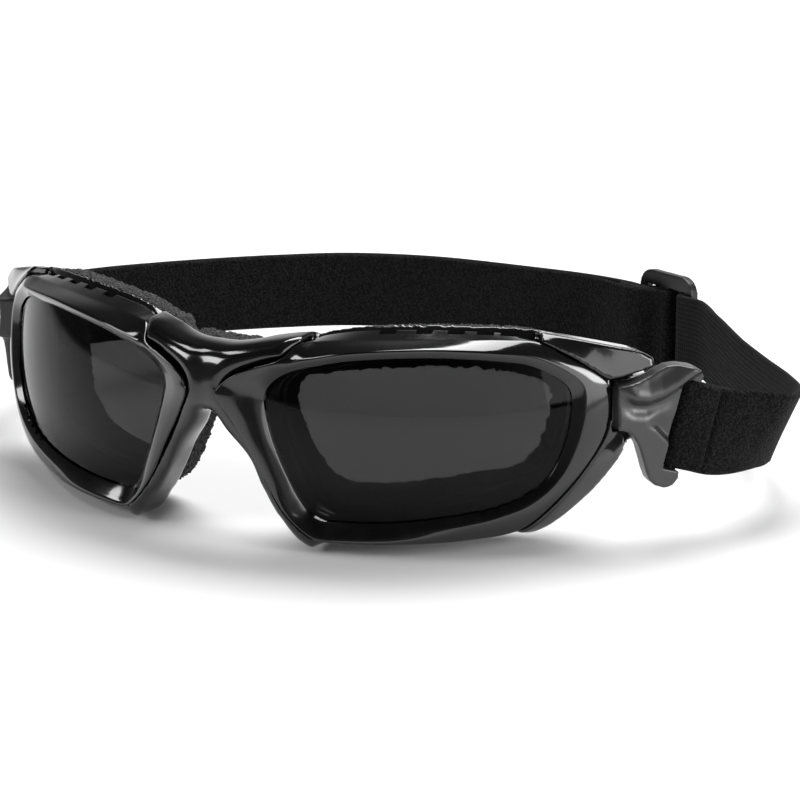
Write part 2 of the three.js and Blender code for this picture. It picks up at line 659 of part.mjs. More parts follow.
// Webbing swept along a route of rows: x, y, z of its middle, and how far its width leans over in x
// and y for each unit of height.
function webbing(rows) {
  const points = rows.map(([x, y, z]) => new THREE.Vector3(x, y, z));
  const middle = new THREE.CatmullRomCurve3(points, false, 'centripetal');
  const lean = new THREE.CatmullRomCurve3(rows.map(([, , , x, y]) => new THREE.Vector3(x, y, 1)));
  const sections = [];
  const count = (rows.length - 1) * WEBBING_STEPS;
  for (let i = 0; i <= count; i += 1) {
    const t = i / count;
    const centre = middle.getPoint(t);
    const heading = middle.getPoint(Math.min(1, t + 0.002)).sub(middle.getPoint(Math.max(0, t - 0.002)));
    const across = lean.getPoint(t).normalize();
    const facing = new THREE.Vector3().crossVectors(heading, across).normalize();
    across.crossVectors(facing, heading.normalize());
    const corner = (w, f) => centre.clone()
      .addScaledVector(across, w * STRAP_WIDTH / 2)
      .addScaledVector(facing, f * STRAP_THICKNESS / 2);
    sections.push([corner(-1, -1), corner(1, -1), corner(1, 1), corner(-1, 1)]);
  }
  return loft(sections);
}

const BAR_OUT = (BAR_INNER + BAR_OUTER) / 2;

// The turn of the strap round a clip's bar: distance behind the bar and outward from it.
const TURN_INSIDE = [[4.6, -0.75], [2.4, -1.35], [0.3, -1.8], [-1.45, -1.42]];
const TURN_OUTSIDE = [[-1.45, 1.42], [0.3, 1.8], [3.0, 1.75]];

function clipRows(side, turn) {
  const place = atFoldedClip(side);
  const heading = place(1, 0, 0).sub(place(0, 0, 0)).multiplyScalar(Math.tan(BAR_LEAN));
  return turn.map(([behind, out]) => {
    const [along, z] = atBar(behind, 0);
    const p = place(along, BAR_OUT + out, z);
    return [p.x, p.y, p.z, heading.x, heading.y];
  });
}

const sliderOut = new THREE.Vector3(SLIDER_HEADING.y, -SLIDER_HEADING.x, 0);
function atSlider(along, out, z) {
  const p = SLIDER_CENTRE.clone().addScaledVector(SLIDER_HEADING, along).addScaledVector(sliderOut, out);
  return new THREE.Vector3(p.x, p.y, z);
}

function sliderRows(points) {
  return points.map(([along, out]) => {
    const p = atSlider(along, out, SLIDER_CENTRE.z);
    return [p.x, p.y, p.z, 0, 0];
  });
}

// The single run, from the sewn end round the left clip's bar to the slider.
const SINGLE_RUN = [
  [95.2, 56.0, 17.7, 0.28, 0.12], [97.7, 61.6, 16.8, 0.47, 0.0], [96.8, 68.0, 16.6, 0.46, -0.02],
  [92.2, 75.6, 16.4, 0.34, 0.0], [83.4, 86.6, 16.3, 0.16, 0.0], [72.0, 98.6, 17.2, 0.05, 0.0],
  [61.0, 110.2, 18.8, 0.0, 0.0],
];

function strapSingle() {
  const sewnEnd = [[8.6, -0.45], ...TURN_INSIDE, [-1.8, 0], ...TURN_OUTSIDE, [7.6, 1.35]];
  return webbing([...clipRows(1, sewnEnd), ...SINGLE_RUN, ...sliderRows([[-14.5, -2.0], [-9.8, -1.95]])]);
}

// The double run round the back of the head, midway between its two layers: x, y, z.
const BACK_RUN = [
  [18, 130.4, 20], [0, 131.0, 20], [-25, 129.6, 20], [-44, 122.6, 20], [-57.5, 110.8, 20],
  [-67.5, 99.6, 20], [-76.4, 87.6, 20], [-83.6, 75.6, 20], [-86.8, 64.4, 20],
];

function backRun(offset) {
  return BACK_RUN.map(([x, y, z], i) => {
    const before = BACK_RUN[Math.max(0, i - 1)];
    const after = BACK_RUN[Math.min(BACK_RUN.length - 1, i + 1)];
    const heading = new THREE.Vector2(after[0] - before[0], after[1] - before[1]).normalize();
    return [x + heading.y * offset, y - heading.x * offset, z, 0, 0];
  });
}

// Threaded through the slider, over its middle bar, then along the outside to the right clip's bar.
function strapOuter() {
  const threaded = [
    [-9.2, -1.95], [-7.0, -1.95], [-5.6, -1.3], [-4.6, 0.3], [-3.4, 2.4], [-1.8, 3.5], [0, 3.75],
    [1.8, 3.5], [3.5, 2.6], [4.7, 0.4], [5.4, -1.4], [7.2, -1.95], [9.5, -1.95], [12, -2.0],
  ];
  const turn = [[7.0, 1.7], ...[...TURN_OUTSIDE].reverse(), [-1.75, 0.3]];
  return webbing([...sliderRows(threaded), ...backRun(LAYER_PITCH / 2), ...clipRows(-1, turn)]);
}

// From the right clip's bar along the inside to the slider, round its middle bar, and sewn down.
function strapInner() {
  const loop = [
    [12, -5.4], [7, -5.35], [4.3, -4.5], [2, -2.6], [0, -1.95], [-1.75, -1.65], [-2.15, 0], [-1.75, 1.65],
    [0, 1.95], [1.75, 1.65], [2.15, 0], [3.3, -1.6], [5.4, -3.2], [7.5, -3.7], [13, -3.75],
  ];
  const turn = [[-1.75, -0.3], ...[...TURN_INSIDE].reverse().slice(0, 3), [7.0, -1.3]];
  return webbing([...clipRows(-1, turn), ...backRun(-LAYER_PITCH / 2).reverse(), ...sliderRows(loop)]);
}

function slider() {
  const [length, height, corner] = [SLIDER_LENGTH / 2, SLIDER_HEIGHT / 2, SLIDER_CORNER];
  const middle = SLIDER_CENTRE.z;
  const outline = [];
  for (const [x, z, start] of [[1, 1, 0], [-1, 1, 1], [-1, -1, 2], [1, -1, 3]]) {
    for (let i = 0; i <= 4; i += 1) {
      const angle = (start + i / 4) * Math.PI / 2;
      outline.push([
        x * (length - corner) + corner * Math.cos(angle),
        middle + z * (height - corner) + corner * Math.sin(angle),
      ]);
    }
  }
  const [low, high] = [middle - STRAP_WIDTH / 2 - GAP, middle + STRAP_WIDTH / 2 + GAP];
  const slots = [-1, 1].map((x) => {
    const [near, far] = [x * SLIDER_BAR / 2, x * (length - SLIDER_BAR)];
    const slot = [[near, low], [far, low], [far, high], [near, high]];
    return plate(slot, atSlider, -SLIDER_THICKNESS, SLIDER_THICKNESS);
  });
  const body = plate(outline, atSlider, -SLIDER_THICKNESS / 2, SLIDER_THICKNESS / 2);
  return slots.reduce((rest, slot) => rest.subtract(slot), body);
}

// A piece cut back so that it clears its neighbour by a gap behind it and to each side.
function clearOf(piece, neighbour) {
  const shifts = [[0, 0, 0], [0, GAP, 0], [GAP, 0, 0], [-GAP, 0, 0]];
  return shifts.reduce((rest, [x, y, z]) => {
    return rest.subtract(toSolid(toGeometry(neighbour).translate(x, y, z)));
  }, piece);
}

// The largest of the separate bodies that a cut leaves.
function mainBody(solid) {
  return solid.decompose().reduce((best, part) => (part.volume() > best.volume() ? part : best));
}

// ---- assembly --------------------------------------------------------------------------------------
function material(color, roughness, metalness = 0) {
  return new THREE.MeshStandardMaterial({ color, roughness, metalness });
}

const GLOSS_BLACK = material(0x0b0b0c, 0.12);
const SATIN_GREY = material(0x3a3a3c, 0.38);
const SMOKE = material(0x1c1d1f, 0.05);
const FOAM = material(0x2b2b2c, 0.95);
const WEBBING = material(0x0d0d0e, 0.9);
const STEEL = material(0x9a9a9c, 0.3, 1);
const SOFT_BLACK = material(0x141415, 0.5);

const goggles = new THREE.Group();

function addPiece(name, solid, look) {
  const mesh = new THREE.Mesh(toGeometry(solid.asOriginal().simplify(FLATNESS)), look);
  mesh.name = name;
  goggles.add(mesh);
}

const chassisSolid = chassis().asOriginal().simplify(FLATNESS);
const carriers = new Map([1, -1].map((side) => {
  return [side, mainBody(clearOf(gasketCarrier(side), chassisSolid))];
}));
const foamSolid = [chassisSolid, ...carriers.values()].reduce(clearOf, foam());

addPiece('main_frame', chassisSolid, GLOSS_BLACK);
addPiece('face_foam', mainBody(foamSolid), FOAM);
for (const [side, name] of [[1, 'left'], [-1, 'right']]) {
  addPiece(`lens_rim_${name}`, rim(side), GLOSS_BLACK);
  addPiece(`lens_${name}`, lens(side), SMOKE);
  addPiece(`gasket_carrier_${name}`, carriers.get(side), SOFT_BLACK);
  addPiece(`strap_clip_${name}`, clip(side), SATIN_GREY);
  addPiece(`hinge_pin_${name}`, hingePin(side), STEEL);
}
addPiece('strap_single_run', strapSingle(), WEBBING);
addPiece('strap_outer_layer', strapOuter(), WEBBING);
addPiece('strap_inner_layer', strapInner(), WEBBING);
addPiece('strap_slider', slider(), SOFT_BLACK);

goggles.rotation.x = -REST_TILT;

const model = new THREE.Group();
model.add(goggles);
model.updateMatrixWorld(true);
const reach = new THREE.Box3().setFromObject(model, true);
goggles.position.set(
  -(reach.min.x + reach.max.x) / 2,
  -(reach.min.y + reach.max.y) / 2,
  -reach.min.z,
);

export default model;
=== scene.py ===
# Motorcycle goggles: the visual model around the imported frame.
#
# Every shape is made in the goggles' own frame, in millimetres: X across the face, Y from the front of
# the bridge towards the back of the head, Z up. to_row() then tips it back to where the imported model
# lies. Each eye's pieces are made for the wearer's left (+X) and mirrored.
import math

import bpy
import numpy as np
from mathutils import Matrix, Vector, noise


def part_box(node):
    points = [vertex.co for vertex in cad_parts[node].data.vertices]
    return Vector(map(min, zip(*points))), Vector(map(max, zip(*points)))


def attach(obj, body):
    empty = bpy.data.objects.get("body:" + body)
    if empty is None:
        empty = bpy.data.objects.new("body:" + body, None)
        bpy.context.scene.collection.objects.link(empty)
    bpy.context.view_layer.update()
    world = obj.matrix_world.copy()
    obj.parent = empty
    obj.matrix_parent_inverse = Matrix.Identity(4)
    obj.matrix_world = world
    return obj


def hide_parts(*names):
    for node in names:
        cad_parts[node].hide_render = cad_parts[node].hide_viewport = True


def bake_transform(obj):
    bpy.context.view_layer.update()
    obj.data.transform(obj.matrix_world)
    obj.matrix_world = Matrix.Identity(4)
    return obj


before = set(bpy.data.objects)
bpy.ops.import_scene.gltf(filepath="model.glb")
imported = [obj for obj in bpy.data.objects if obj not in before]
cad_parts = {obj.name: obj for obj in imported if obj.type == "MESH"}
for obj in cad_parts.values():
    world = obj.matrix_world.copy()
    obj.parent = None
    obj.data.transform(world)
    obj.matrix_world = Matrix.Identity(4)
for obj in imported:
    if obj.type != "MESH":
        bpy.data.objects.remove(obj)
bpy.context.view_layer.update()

# ---- dimensions (mm), as in the solid model ----------------------------------
REST_TILT = math.radians(6.8)
GAP = 0.3
LENS_CENTRE = np.array([15.4, 78.5, 18.9])
LENS_RADIUS = 73.5
LENS_THICKNESS = 2.0
LENS_LIP = 0.8
# Stations round one eye: lens opening x, z; rim edge x, z; how far the rim edge stands in front of the
# lens sphere; how far the rim widens to its back edge; how far the chassis spreads further; its depth.
EYE_STATIONS = [
    (12.5, 23.8, 3.6, 24.9, 6.1, 0.0, 0.0, 8.2),
    (12.7, 25.3, 4.6, 27.0, 5.6, 0.0, 0.0, 8.4),
    (13.5, 26.7, 7.4, 29.1, 5.0, 0.0, 0.0, 8.8),
    (15.7, 28.7, 11.6, 31.0, 3.8, 0.0, 0.0, 9.0),
    (18.1, 30.0, 16.4, 32.8, 2.2, 0.0, 0.0, 9.0),
    (21.0, 31.1, 18.9, 35.6, -1.0, 0.6, 0.0, 7.6),
    (24.2, 31.9, 22.6, 36.2, -2.4, 1.6, 0.1, 6.0),
    (30.9, 33.4, 30.6, 37.0, -3.0, 2.2, 0.2, 6.0),
    (46.0, 34.8, 45.8, 37.9, -2.6, 2.2, 0.2, 6.0),
    (57.9, 34.2, 57.6, 38.2, -0.8, 1.8, 0.2, 6.0),
    (62.2, 33.4, 63.6, 37.9, 0.6, 0.6, 0.2, 6.6),
    (65.7, 31.5, 68.6, 34.9, 1.8, 0.0, 0.4, 6.6),
    (68.4, 29.0, 73.2, 31.6, 2.6, 0.0, 0.0, 5.4),
    (69.2, 26.4, 75.2, 28.8, 3.0, 0.0, 0.0, 5.0),
    (68.6, 18.4, 75.2, 20.2, 3.2, 0.0, 2.0, 3.6),
    (65.9, 10.9, 72.4, 13.0, 3.0, 0.0, 3.6, 9.2),
    (61.5, 6.9, 66.6, 4.6, 2.7, 0.0, 2.6, 6.0),
    (57.6, 5.1, 61.5, 0.0, 2.3, 0.0, 1.6, 5.2),
    (53.1, 3.7, 53.3, -2.0, 2.2, 0.0, 0.0, 6.8),
    (40.3, 1.3, 41.4, -3.2, 3.2, 0.0, 0.0, 6.8),
    (28.0, 0.2, 29.9, -3.9, 3.4, 0.0, 0.0, 7.6),
    (23.9, 0.2, 23.8, -3.9, 3.4, 0.0, 0.0, 8.4),
    (21.8, 1.3, 20.8, -1.9, 3.4, 0.0, 0.0, 8.8),
    (19.8, 4.0, 17.4, 1.5, 3.2, 0.0, 0.0, 8.6),
    (17.9, 7.8, 14.4, 5.8, 2.6, 0.0, 0.0, 8.2),
    (15.6, 13.0, 10.9, 12.4, 2.6, 0.0, 0.0, 8.0),
    (13.7, 18.2, 6.6, 19.3, 3.8, 0.0, 0.0, 8.0),
]
STATION_STEPS = 10
RIM_DEPTH = 4.0
RIM_BACK = LENS_THICKNESS + GAP + 1.3
RING_DEPTH = 2.8
RING_INSIDE = 0.8                           # from the lens opening out to the chassis's inner edge
LENS_DEPTH = RIM_BACK + GAP + RING_DEPTH    # from the lens sphere back to where the gasket begins
CREST_OUT = 1.5
CREST_PROUD = 1.9
CARRIER_THICKNESS = 1.5
FOAM_DEPTH = 7.5
VENT_COUNT = 5

HINGE_FRONT = np.array([75.6, 32.6, 0.0])
CLIP_HEADING = np.array([0.675, 0.738, 0.0]) / math.hypot(0.675, 0.738)
CLIP_OUTWARD = np.array([CLIP_HEADING[1], -CLIP_HEADING[0], 0.0])
HINGE_SETBACK = 4.4
HINGE_INSET = 5.3
FOLDED = {1: 0.0, -1: math.radians(20)}     # how far each clip lies folded in
BARREL_RADIUS = 2.4
BARREL = (20.3, 29.2)
LUGS = ((17.0, 20.0), (29.5, 32.5))
PIN_RADIUS = 1.0
PIN_PLAY = 0.1
PIN_HEAD_RADIUS, PIN_HEAD_HEIGHT = 1.4, 0.5
CLIP_INNER, CLIP_OUTER = -2.6, 1.4
BAR_INNER, BAR_OUTER = -2.3, -0.6
BAR_LEAN = math.radians(15)
BAR_MIDDLE = (16.1, 20.2)
BAR_HALF_WIDTH = 0.75

STRAP_WIDTH = 17.6
STRAP_THICKNESS = 1.3
LAYER_PITCH = 1.6
SLOT_HALF = STRAP_WIDTH / 2 + GAP
SLIDER_LENGTH, SLIDER_HEIGHT, SLIDER_THICKNESS = 19.0, 25.0, 2.0
SLIDER_BAR, SLIDER_CORNER = 2.5, 4.0
SLIDER_CENTRE = np.array([41.0, 125.5, 20.0])
SLIDER_HEADING = np.array([-0.906, 0.423, 0.0]) / math.hypot(0.906, 0.423)
SLIDER_OUT = np.array([SLIDER_HEADING[1], -SLIDER_HEADING[0], 0.0])

# ---- from the goggles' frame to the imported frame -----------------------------
TIP = np.array([
    [1, 0, 0],
    [0, math.cos(REST_TILT), math.sin(REST_TILT)],
    [0, -math.sin(REST_TILT), math.cos(REST_TILT)],
])
_low, _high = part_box("strap_slider")
OFFSET = (np.array(_low) + np.array(_high)) / 2 - TIP @ SLIDER_CENTRE * 0.001


def to_row(points):
    return np.asarray(points, float) @ TIP.T * 0.001 + OFFSET


def unit(v):
    return v / np.maximum(np.linalg.norm(v, axis=-1, keepdims=True), 1e-9)


def ramp(low, high, x):
    t = np.clip((x - low) / (high - low), 0, 1)
    return t * t * (3 - 2 * t)


def catmull(points, ts, closed=False):
    """Centripetal Catmull-Rom curve through points, at each share t of its rows."""
    points = np.asarray(points, float)
    count = len(points)
    out = []
    for t in ts:
        p = (count if closed else count - 1) * t
        i = int(math.floor(p))
        w = p - i
        if not closed and i >= count - 1:
            i, w = count - 2, 1.0
        a = points[(i - 1) % count] if closed or i > 0 else 2 * points[0] - points[1]
        b, c = points[i % count], points[(i + 1) % count]
        d = points[(i + 2) % count] if closed or i + 2 < count else 2 * points[-1] - points[-2]
        d1 = np.dot(c - b, c - b) ** 0.25
        d1 = d1 if d1 > 1e-4 else 1.0
        d0 = np.dot(b - a, b - a) ** 0.25
        d0 = d0 if d0 > 1e-4 else d1
        d2 = np.dot(d - c, d - c) ** 0.25
        d2 = d2 if d2 > 1e-4 else d1
        m1 = ((b - a) / d0 - (c - a) / (d0 + d1) + (c - b) / d1) * d1
        m2 = ((c - b) / d1 - (d - b) / (d1 + d2) + (d - c) / d2) * d1
        out.append(b + m1 * w + (3 * (c - b) - 2 * m1 - m2) * w ** 2 + (2 * (b - c) + m1 + m2) * w ** 3)
    return np.array(out)


# ---- meshes ------------------------------------------------------------------
def new_object(name, verts, faces, side=1):
    verts = np.array(verts, float).reshape(-1, 3)
    verts[:, 0] *= side
    mesh = bpy.data.meshes.new(name)
    mesh.from_pydata(to_row(verts).tolist(), [], [list(map(int, f)) for f in faces])
    mesh.update()
    obj = bpy.data.objects.new(name, mesh)
    bpy.context.scene.collection.objects.link(obj)
    face_outward(obj)
    return obj


def face_outward(obj):
    """Turns a closed mesh to face outwards, from the sign of its volume."""
    mesh = obj.data
    mesh.calc_loop_triangles()
    co = np.array([v.co for v in mesh.vertices])
    tri = np.array([t.vertices[:] for t in mesh.loop_triangles])
    a, b, c = (co[tri[:, k]] for k in range(3))
    if np.einsum("ij,ij->i", a - co.mean(0), np.cross(b - co.mean(0), c - co.mean(0))).sum() < 0:
        mesh.flip_normals()


def loft(name, sections, ring=False, side=1):
    """A closed body through sections, an array of stations by section points by 3."""
    sections = np.asarray(sections, float)
    count, across = sections.shape[:2]
    grid = np.arange(count * across).reshape(count, across)
    faces = []
    for s in range(count if ring else count - 1):
        here, there = grid[s], grid[(s + 1) % count]
        for k in range(across):
            n = (k + 1) % across
            faces.append((here[k], here[n], there[n], there[k]))
    if not ring:
        faces += [tuple(grid[0][::-1]), tuple(grid[-1])]
    return new_object(name, sections, faces, side)


def rounded(sections, radii, steps=3):
    """Rounds each corner of the sections' outline by cutting back by its radius along both sides."""
    sections = np.asarray(sections, float)
    count = sections.shape[1]
    out = []
    for k in range(count):
        here, before, after = sections[:, k], sections[:, k - 1], sections[:, (k + 1) % count]
        if radii[k] <= 0:
            out.append(here)
            continue
        ends = []
        for other in (before, after):
            way = other - here
            length = np.linalg.norm(way, axis=1, keepdims=True)
            ends.append(here + way / np.maximum(length, 1e-6) * np.minimum(radii[k], 0.45 * length))
        for j in range(steps + 1):
            t = j / steps
            out.append((1 - t) ** 2 * ends[0] + 2 * t * (1 - t) * here + t * t * ends[1])
    return np.stack(out, axis=1)


def settle(obj):
    """Replaces the mesh by what its modifiers make of it."""
    graph = bpy.context.evaluated_depsgraph_get()
    mesh = bpy.data.meshes.new_from_object(obj.evaluated_get(graph))
    obj.modifiers.clear()
    obj.data = mesh
    return obj


def combine(obj, others, operation):
    for other in others:
        cut = obj.modifiers.new("cut", "BOOLEAN")
        cut.operation = operation
        cut.solver = "MANIFOLD"
        cut.object = other
    settle(obj)
    for other in others:
        bpy.data.objects.remove(other)
    return obj


def soften(obj, voxel, passes):
    """Remeshes at voxel millimetres and relaxes, which rounds every edge as a mould does."""
    remesh = obj.modifiers.new("remesh", "REMESH")
    remesh.mode = "VOXEL"
    remesh.voxel_size = voxel * 0.001
    if passes:
        relax = obj.modifiers.new("relax", "SMOOTH")
        relax.factor = 0.5
        relax.iterations = passes
    return settle(obj)


def shade(obj, angle=40):
    obj.data.shade_smooth()
    if angle:
        obj.data.set_sharp_from_angle(angle=math.radians(angle))
    return obj


def finish_piece(obj, material, body=None, nodes=()):
    obj.data.materials.clear()
    obj.data.materials.append(material)
    if nodes:
        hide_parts(*nodes)
    if body:
        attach(obj, body)
    return obj


# ---- materials ---------------------------------------------------------------
class Look:
    """A Principled material with a short way to add nodes and links."""

    def __init__(self, name, color, roughness, **sockets):
        self.material = bpy.data.materials.new(name)
        self.material.use_nodes = True
        self.tree = self.material.node_tree
        self.shader = self.tree.nodes["Principled BSDF"]
        self.set("Base Color", (*color, 1))
        self.set("Roughness", roughness)
        for socket, value in sockets.items():
            self.set(socket.replace("_", " "), value)

    def set(self, socket, value):
        self.shader.inputs[socket].default_value = value

    def node(self, kind, inputs=(), **settings):
        node = self.tree.nodes.new(kind)
        for key, value in settings.items():
            setattr(node, key, value)
        for key, value in dict(inputs).items():
            if isinstance(value, bpy.types.NodeSocket):
                self.tree.links.new(value, node.inputs[key])
            else:
                node.inputs[key].default_value = value
        return node

    def place(self):
        return self.node("ShaderNodeTexCoord").outputs["Object"]

    def grain(self, scale, detail=2.0, where=None, rough=0.5):
        inputs = {"Vector": where or self.place(), "Scale": scale, "Detail": detail, "Roughness": rough}
        return self.node("ShaderNodeTexNoise", inputs).outputs["Fac"]

    def math(self, operation, a, b=0.0, c=0.0):
        node = self.node("ShaderNodeMath", {0: a, 1: b, 2: c}, operation=operation)
        return node.outputs[0]

    def plus(self, a, b):
        return self.math("ADD", a, b)

    def times(self, a, b):
        return self.math("MULTIPLY", a, b)

    def spread(self, value, low, high, start=0.3, end=0.7):
        inputs = {"Value": value, "From Min": start, "From Max": end, "To Min": low, "To Max": high}
        return self.node("ShaderNodeMapRange", inputs).outputs["Result"]

    def blend(self, share, first, second):
        node = self.node("ShaderNodeMix", data_type="RGBA")
        self.tree.links.new(share, node.inputs["Factor"])
        node.inputs["A"].default_value = (*first, 1)
        node.inputs["B"].default_value = (*second, 1)
        return node.outputs["Result"]

    def feed(self, socket, output):
        self.tree.links.new(output, self.shader.inputs[socket])

    def bump(self, height, strength, distance):
        inputs = {"Height": height, "Strength": strength, "Distance": distance}
        self.feed("Normal", self.node("ShaderNodeBump", inputs).outputs["Normal"])


def moulded(name, color, rough, vary, grain_depth, grain_scale, **sockets):
    """Moulded plastic: faint cloudiness in its gloss, a fine texture and a little wear in its colour."""
    look = Look(name, color, rough, **sockets)
    cloud = look.grain(90, 3)
    look.feed("Roughness", look.spread(cloud, rough - vary, rough + vary))
    worn = tuple(min(1, c * 1.5 + 0.003) for c in color)
    look.feed("Base Color", look.blend(look.spread(look.grain(320, 4), 0, 0.5, 0.45, 0.8), color, worn))
    look.bump(look.grain(grain_scale, 2), 0.25, grain_depth)
    return look.material


GLOSS = moulded("gloss_black_plastic", (0.004, 0.004, 0.0042), 0.12, 0.03, 0.00002, 900,
                Specular_IOR_Level=0.5, Coat_Weight=0.3, Coat_Roughness=0.05)
SATIN = moulded("satin_grey_plastic", (0.022, 0.022, 0.023), 0.34, 0.05, 0.00004, 1900,
                Specular_IOR_Level=0.6)
SOFT = moulded("soft_black_plastic", (0.004, 0.004, 0.0042), 0.38, 0.06, 0.00004, 1500)


def steel():
    look = Look("turned_steel", (0.56, 0.56, 0.57), 0.28, Metallic=1.0)
    rings = look.node("ShaderNodeTexWave", {"Vector": look.place(), "Scale": 900, "Distortion": 1.5},
                      bands_direction="Z")
    look.feed("Roughness", look.spread(rings.outputs["Fac"], 0.22, 0.36, 0, 1))
    look.bump(rings.outputs["Fac"], 0.2, 0.00002)
    return look.material


def smoke():
    """Smoke-tinted polycarbonate: it darkens what is behind it and mirrors what is in front."""
    look = Look("smoke_lens", (0.036, 0.036, 0.037), 0.015, IOR=1.22, Transmission_Weight=1.0,
                Specular_IOR_Level=0.2)
    tint = look.spread(look.grain(12, 1), 0, 1)
    look.feed("Base Color", look.blend(tint, (0.035, 0.035, 0.036), (0.038, 0.038, 0.039)))
    return look.material


def foam_look():
    look = Look("open_cell_foam", (0.02, 0.02, 0.021), 0.95, Specular_IOR_Level=0.15, Sheen_Weight=0.08,
                Sheen_Roughness=0.6)
    cells = look.node("ShaderNodeTexVoronoi", {"Vector": look.place(), "Scale": 1500},
                      feature="DISTANCE_TO_EDGE").outputs["Distance"]
    fluff = look.grain(3600, 3)
    # The colour is speckled by noise: the near-black share is painted shade in the pores, and the grey share
    # is the strands' own colour with painted light on them.
    pore_shade, lit_strands = (0.003, 0.003, 0.0032), (0.11, 0.11, 0.113)
    look.feed("Base Color", look.blend(look.spread(fluff, 0, 1, 0.42, 0.66), pore_shade, lit_strands))
    look.bump(look.plus(look.times(cells, 1.6), fluff), 0.9, 0.0005)
    return look.material


def webbing_look():
    """Woven elastic: a pebbled knit on one face, ribs along its length on the other.

    The weave attribute holds the millimetres along and across the band, and 1 on its outer face.
    """
    look = Look("elastic_webbing", (0.006, 0.006, 0.0063), 0.9, Specular_IOR_Level=0.12, Sheen_Weight=0.03,
                Sheen_Roughness=0.5)
    weave = look.node("ShaderNodeAttribute", attribute_name="weave").outputs["Vector"]
    part = look.node("ShaderNodeSeparateXYZ", {0: weave})
    along, across, face = (part.outputs[k] for k in "XYZ")
    flat_inputs = {0: weave, 1: (1.0, 1.0, 0.0)}
    flat = look.node("ShaderNodeVectorMath", flat_inputs, operation="MULTIPLY").outputs[0]
    cells = {"Vector": flat, "Scale": 2.1, "Randomness": 0.75}
    pebble = look.node("ShaderNodeTexVoronoi", cells).outputs["Distance"]
    fuzz = look.grain(5.0, 3, flat)
    slant = look.math("SINE", look.plus(look.times(along, 5.2), look.times(across, 2.6)))
    knit = look.plus(look.times(pebble, -1.3), look.times(slant, 0.06))
    rib = look.math("ABSOLUTE", look.math("SINE", look.times(across, 3.1)))
    rungs = look.math("SINE", look.times(along, 9.0))
    ribbed = look.plus(look.times(rib, 0.9), look.times(rungs, 0.12))
    by_face = {"Factor": face, "A": ribbed, "B": knit}
    mixed = look.node("ShaderNodeMix", by_face, data_type="FLOAT").outputs["Result"]
    height = look.plus(mixed, look.times(fuzz, 0.5))
    outside = look.plus(look.times(face, 0.65), 0.35)
    # The colour follows the height of the knit and ribs: painted shade in their hollows and painted light on
    # their raised tops. It is darker and flatter on the inner face.
    knit_shading = look.times(look.spread(height, 0, 1, -0.6, 0.8), outside)
    look.feed("Base Color", look.blend(knit_shading, (0.0015, 0.0015, 0.0016), (0.027, 0.027, 0.028)))
    look.bump(height, 0.9, 0.0003)
    return look.material


STEEL, SMOKE, FOAM, WEBBING = steel(), smoke(), foam_look(), webbing_look()


# ---- one eye's surfaces ------------------------------------------------------
def on_sphere(x, z):
    y = LENS_CENTRE[1] - np.sqrt(LENS_RADIUS ** 2 - (x - LENS_CENTRE[0]) ** 2 - (z - LENS_CENTRE[2]) ** 2)
    return np.stack([x, y, z], axis=-1)


def deeper(points, depth):
    return points + unit(LENS_CENTRE - points) * np.asarray(depth, float)[..., None]


class Eye:
    """The stations round one eye, as arrays: where the lens opening, the rim and the chassis run."""

    def __init__(self, shares):
        table = np.array(EYE_STATIONS)
        flat = np.zeros(len(table))
        opening = catmull(np.stack([table[:, 0], flat, table[:, 1]], 1), shares, True)
        edge = catmull(table[:, [2, 4, 3]], shares, True)
        shape = catmull(table[:, [5, 6, 7]], shares, True)
        self.opening = opening
        self.way = unit((edge - opening) * [1, 0, 1])
        self.front = on_sphere(edge[:, 0], edge[:, 2]) - edge * [0, 1, 0]
        self.flare, self.spread, self.depth = shape.T

    def at_lens(self, out, depth):
        spot = self.opening + self.way * np.broadcast_to(np.asarray(out, float), len(self.way))[:, None]
        return deeper(on_sphere(spot[:, 0], spot[:, 2]), np.broadcast_to(depth, len(self.way)))

    def at_edge(self, out, depth):
        out = np.broadcast_to(np.asarray(out, float), len(self.way))
        return deeper(self.front, np.broadcast_to(depth, len(self.way))) + self.way * out[:, None]

    def lap(self):
        """How far the chassis laps out past the rim beside the nose."""
        return 1.6 * (1 - ramp(17, 20, self.front[:, 0]))

    def ring_back(self):
        back = self.front + self.way * (self.flare + self.lap() + self.spread)[:, None]
        back[:, 1] += self.depth
        return back

    def behind(self, share, depth):
        """A line behind the chassis: share runs from its inner to its outer edge."""
        inner = self.at_lens(RING_INSIDE, LENS_DEPTH)
        share = np.broadcast_to(np.asarray(share, float), len(inner))[:, None]
        seat = inner + (self.ring_back() - inner) * share
        facing = unit(unit(LENS_CENTRE - self.front) * 0.4 + np.array([0, 0.6, 0]))
        return seat + facing * depth

    def reach(self):
        """How far out over the back of the chassis the gasket goes, as a share."""
        x = self.front[:, 0]
        return 0.86 + 0.06 * (1 - ramp(14, 22, x)) - 0.4 * ramp(58, 70, x)

    def inset(self):
        """How far the gasket stands in past the lens opening's edge."""
        return -0.3 + 0.5 * self.way[:, 0] - 0.6 * self.way[:, 2] + 2.5 * self.way[:, 2] ** 2


STEPS = len(EYE_STATIONS) * STATION_STEPS
EYE = Eye(np.arange(STEPS) / STEPS)


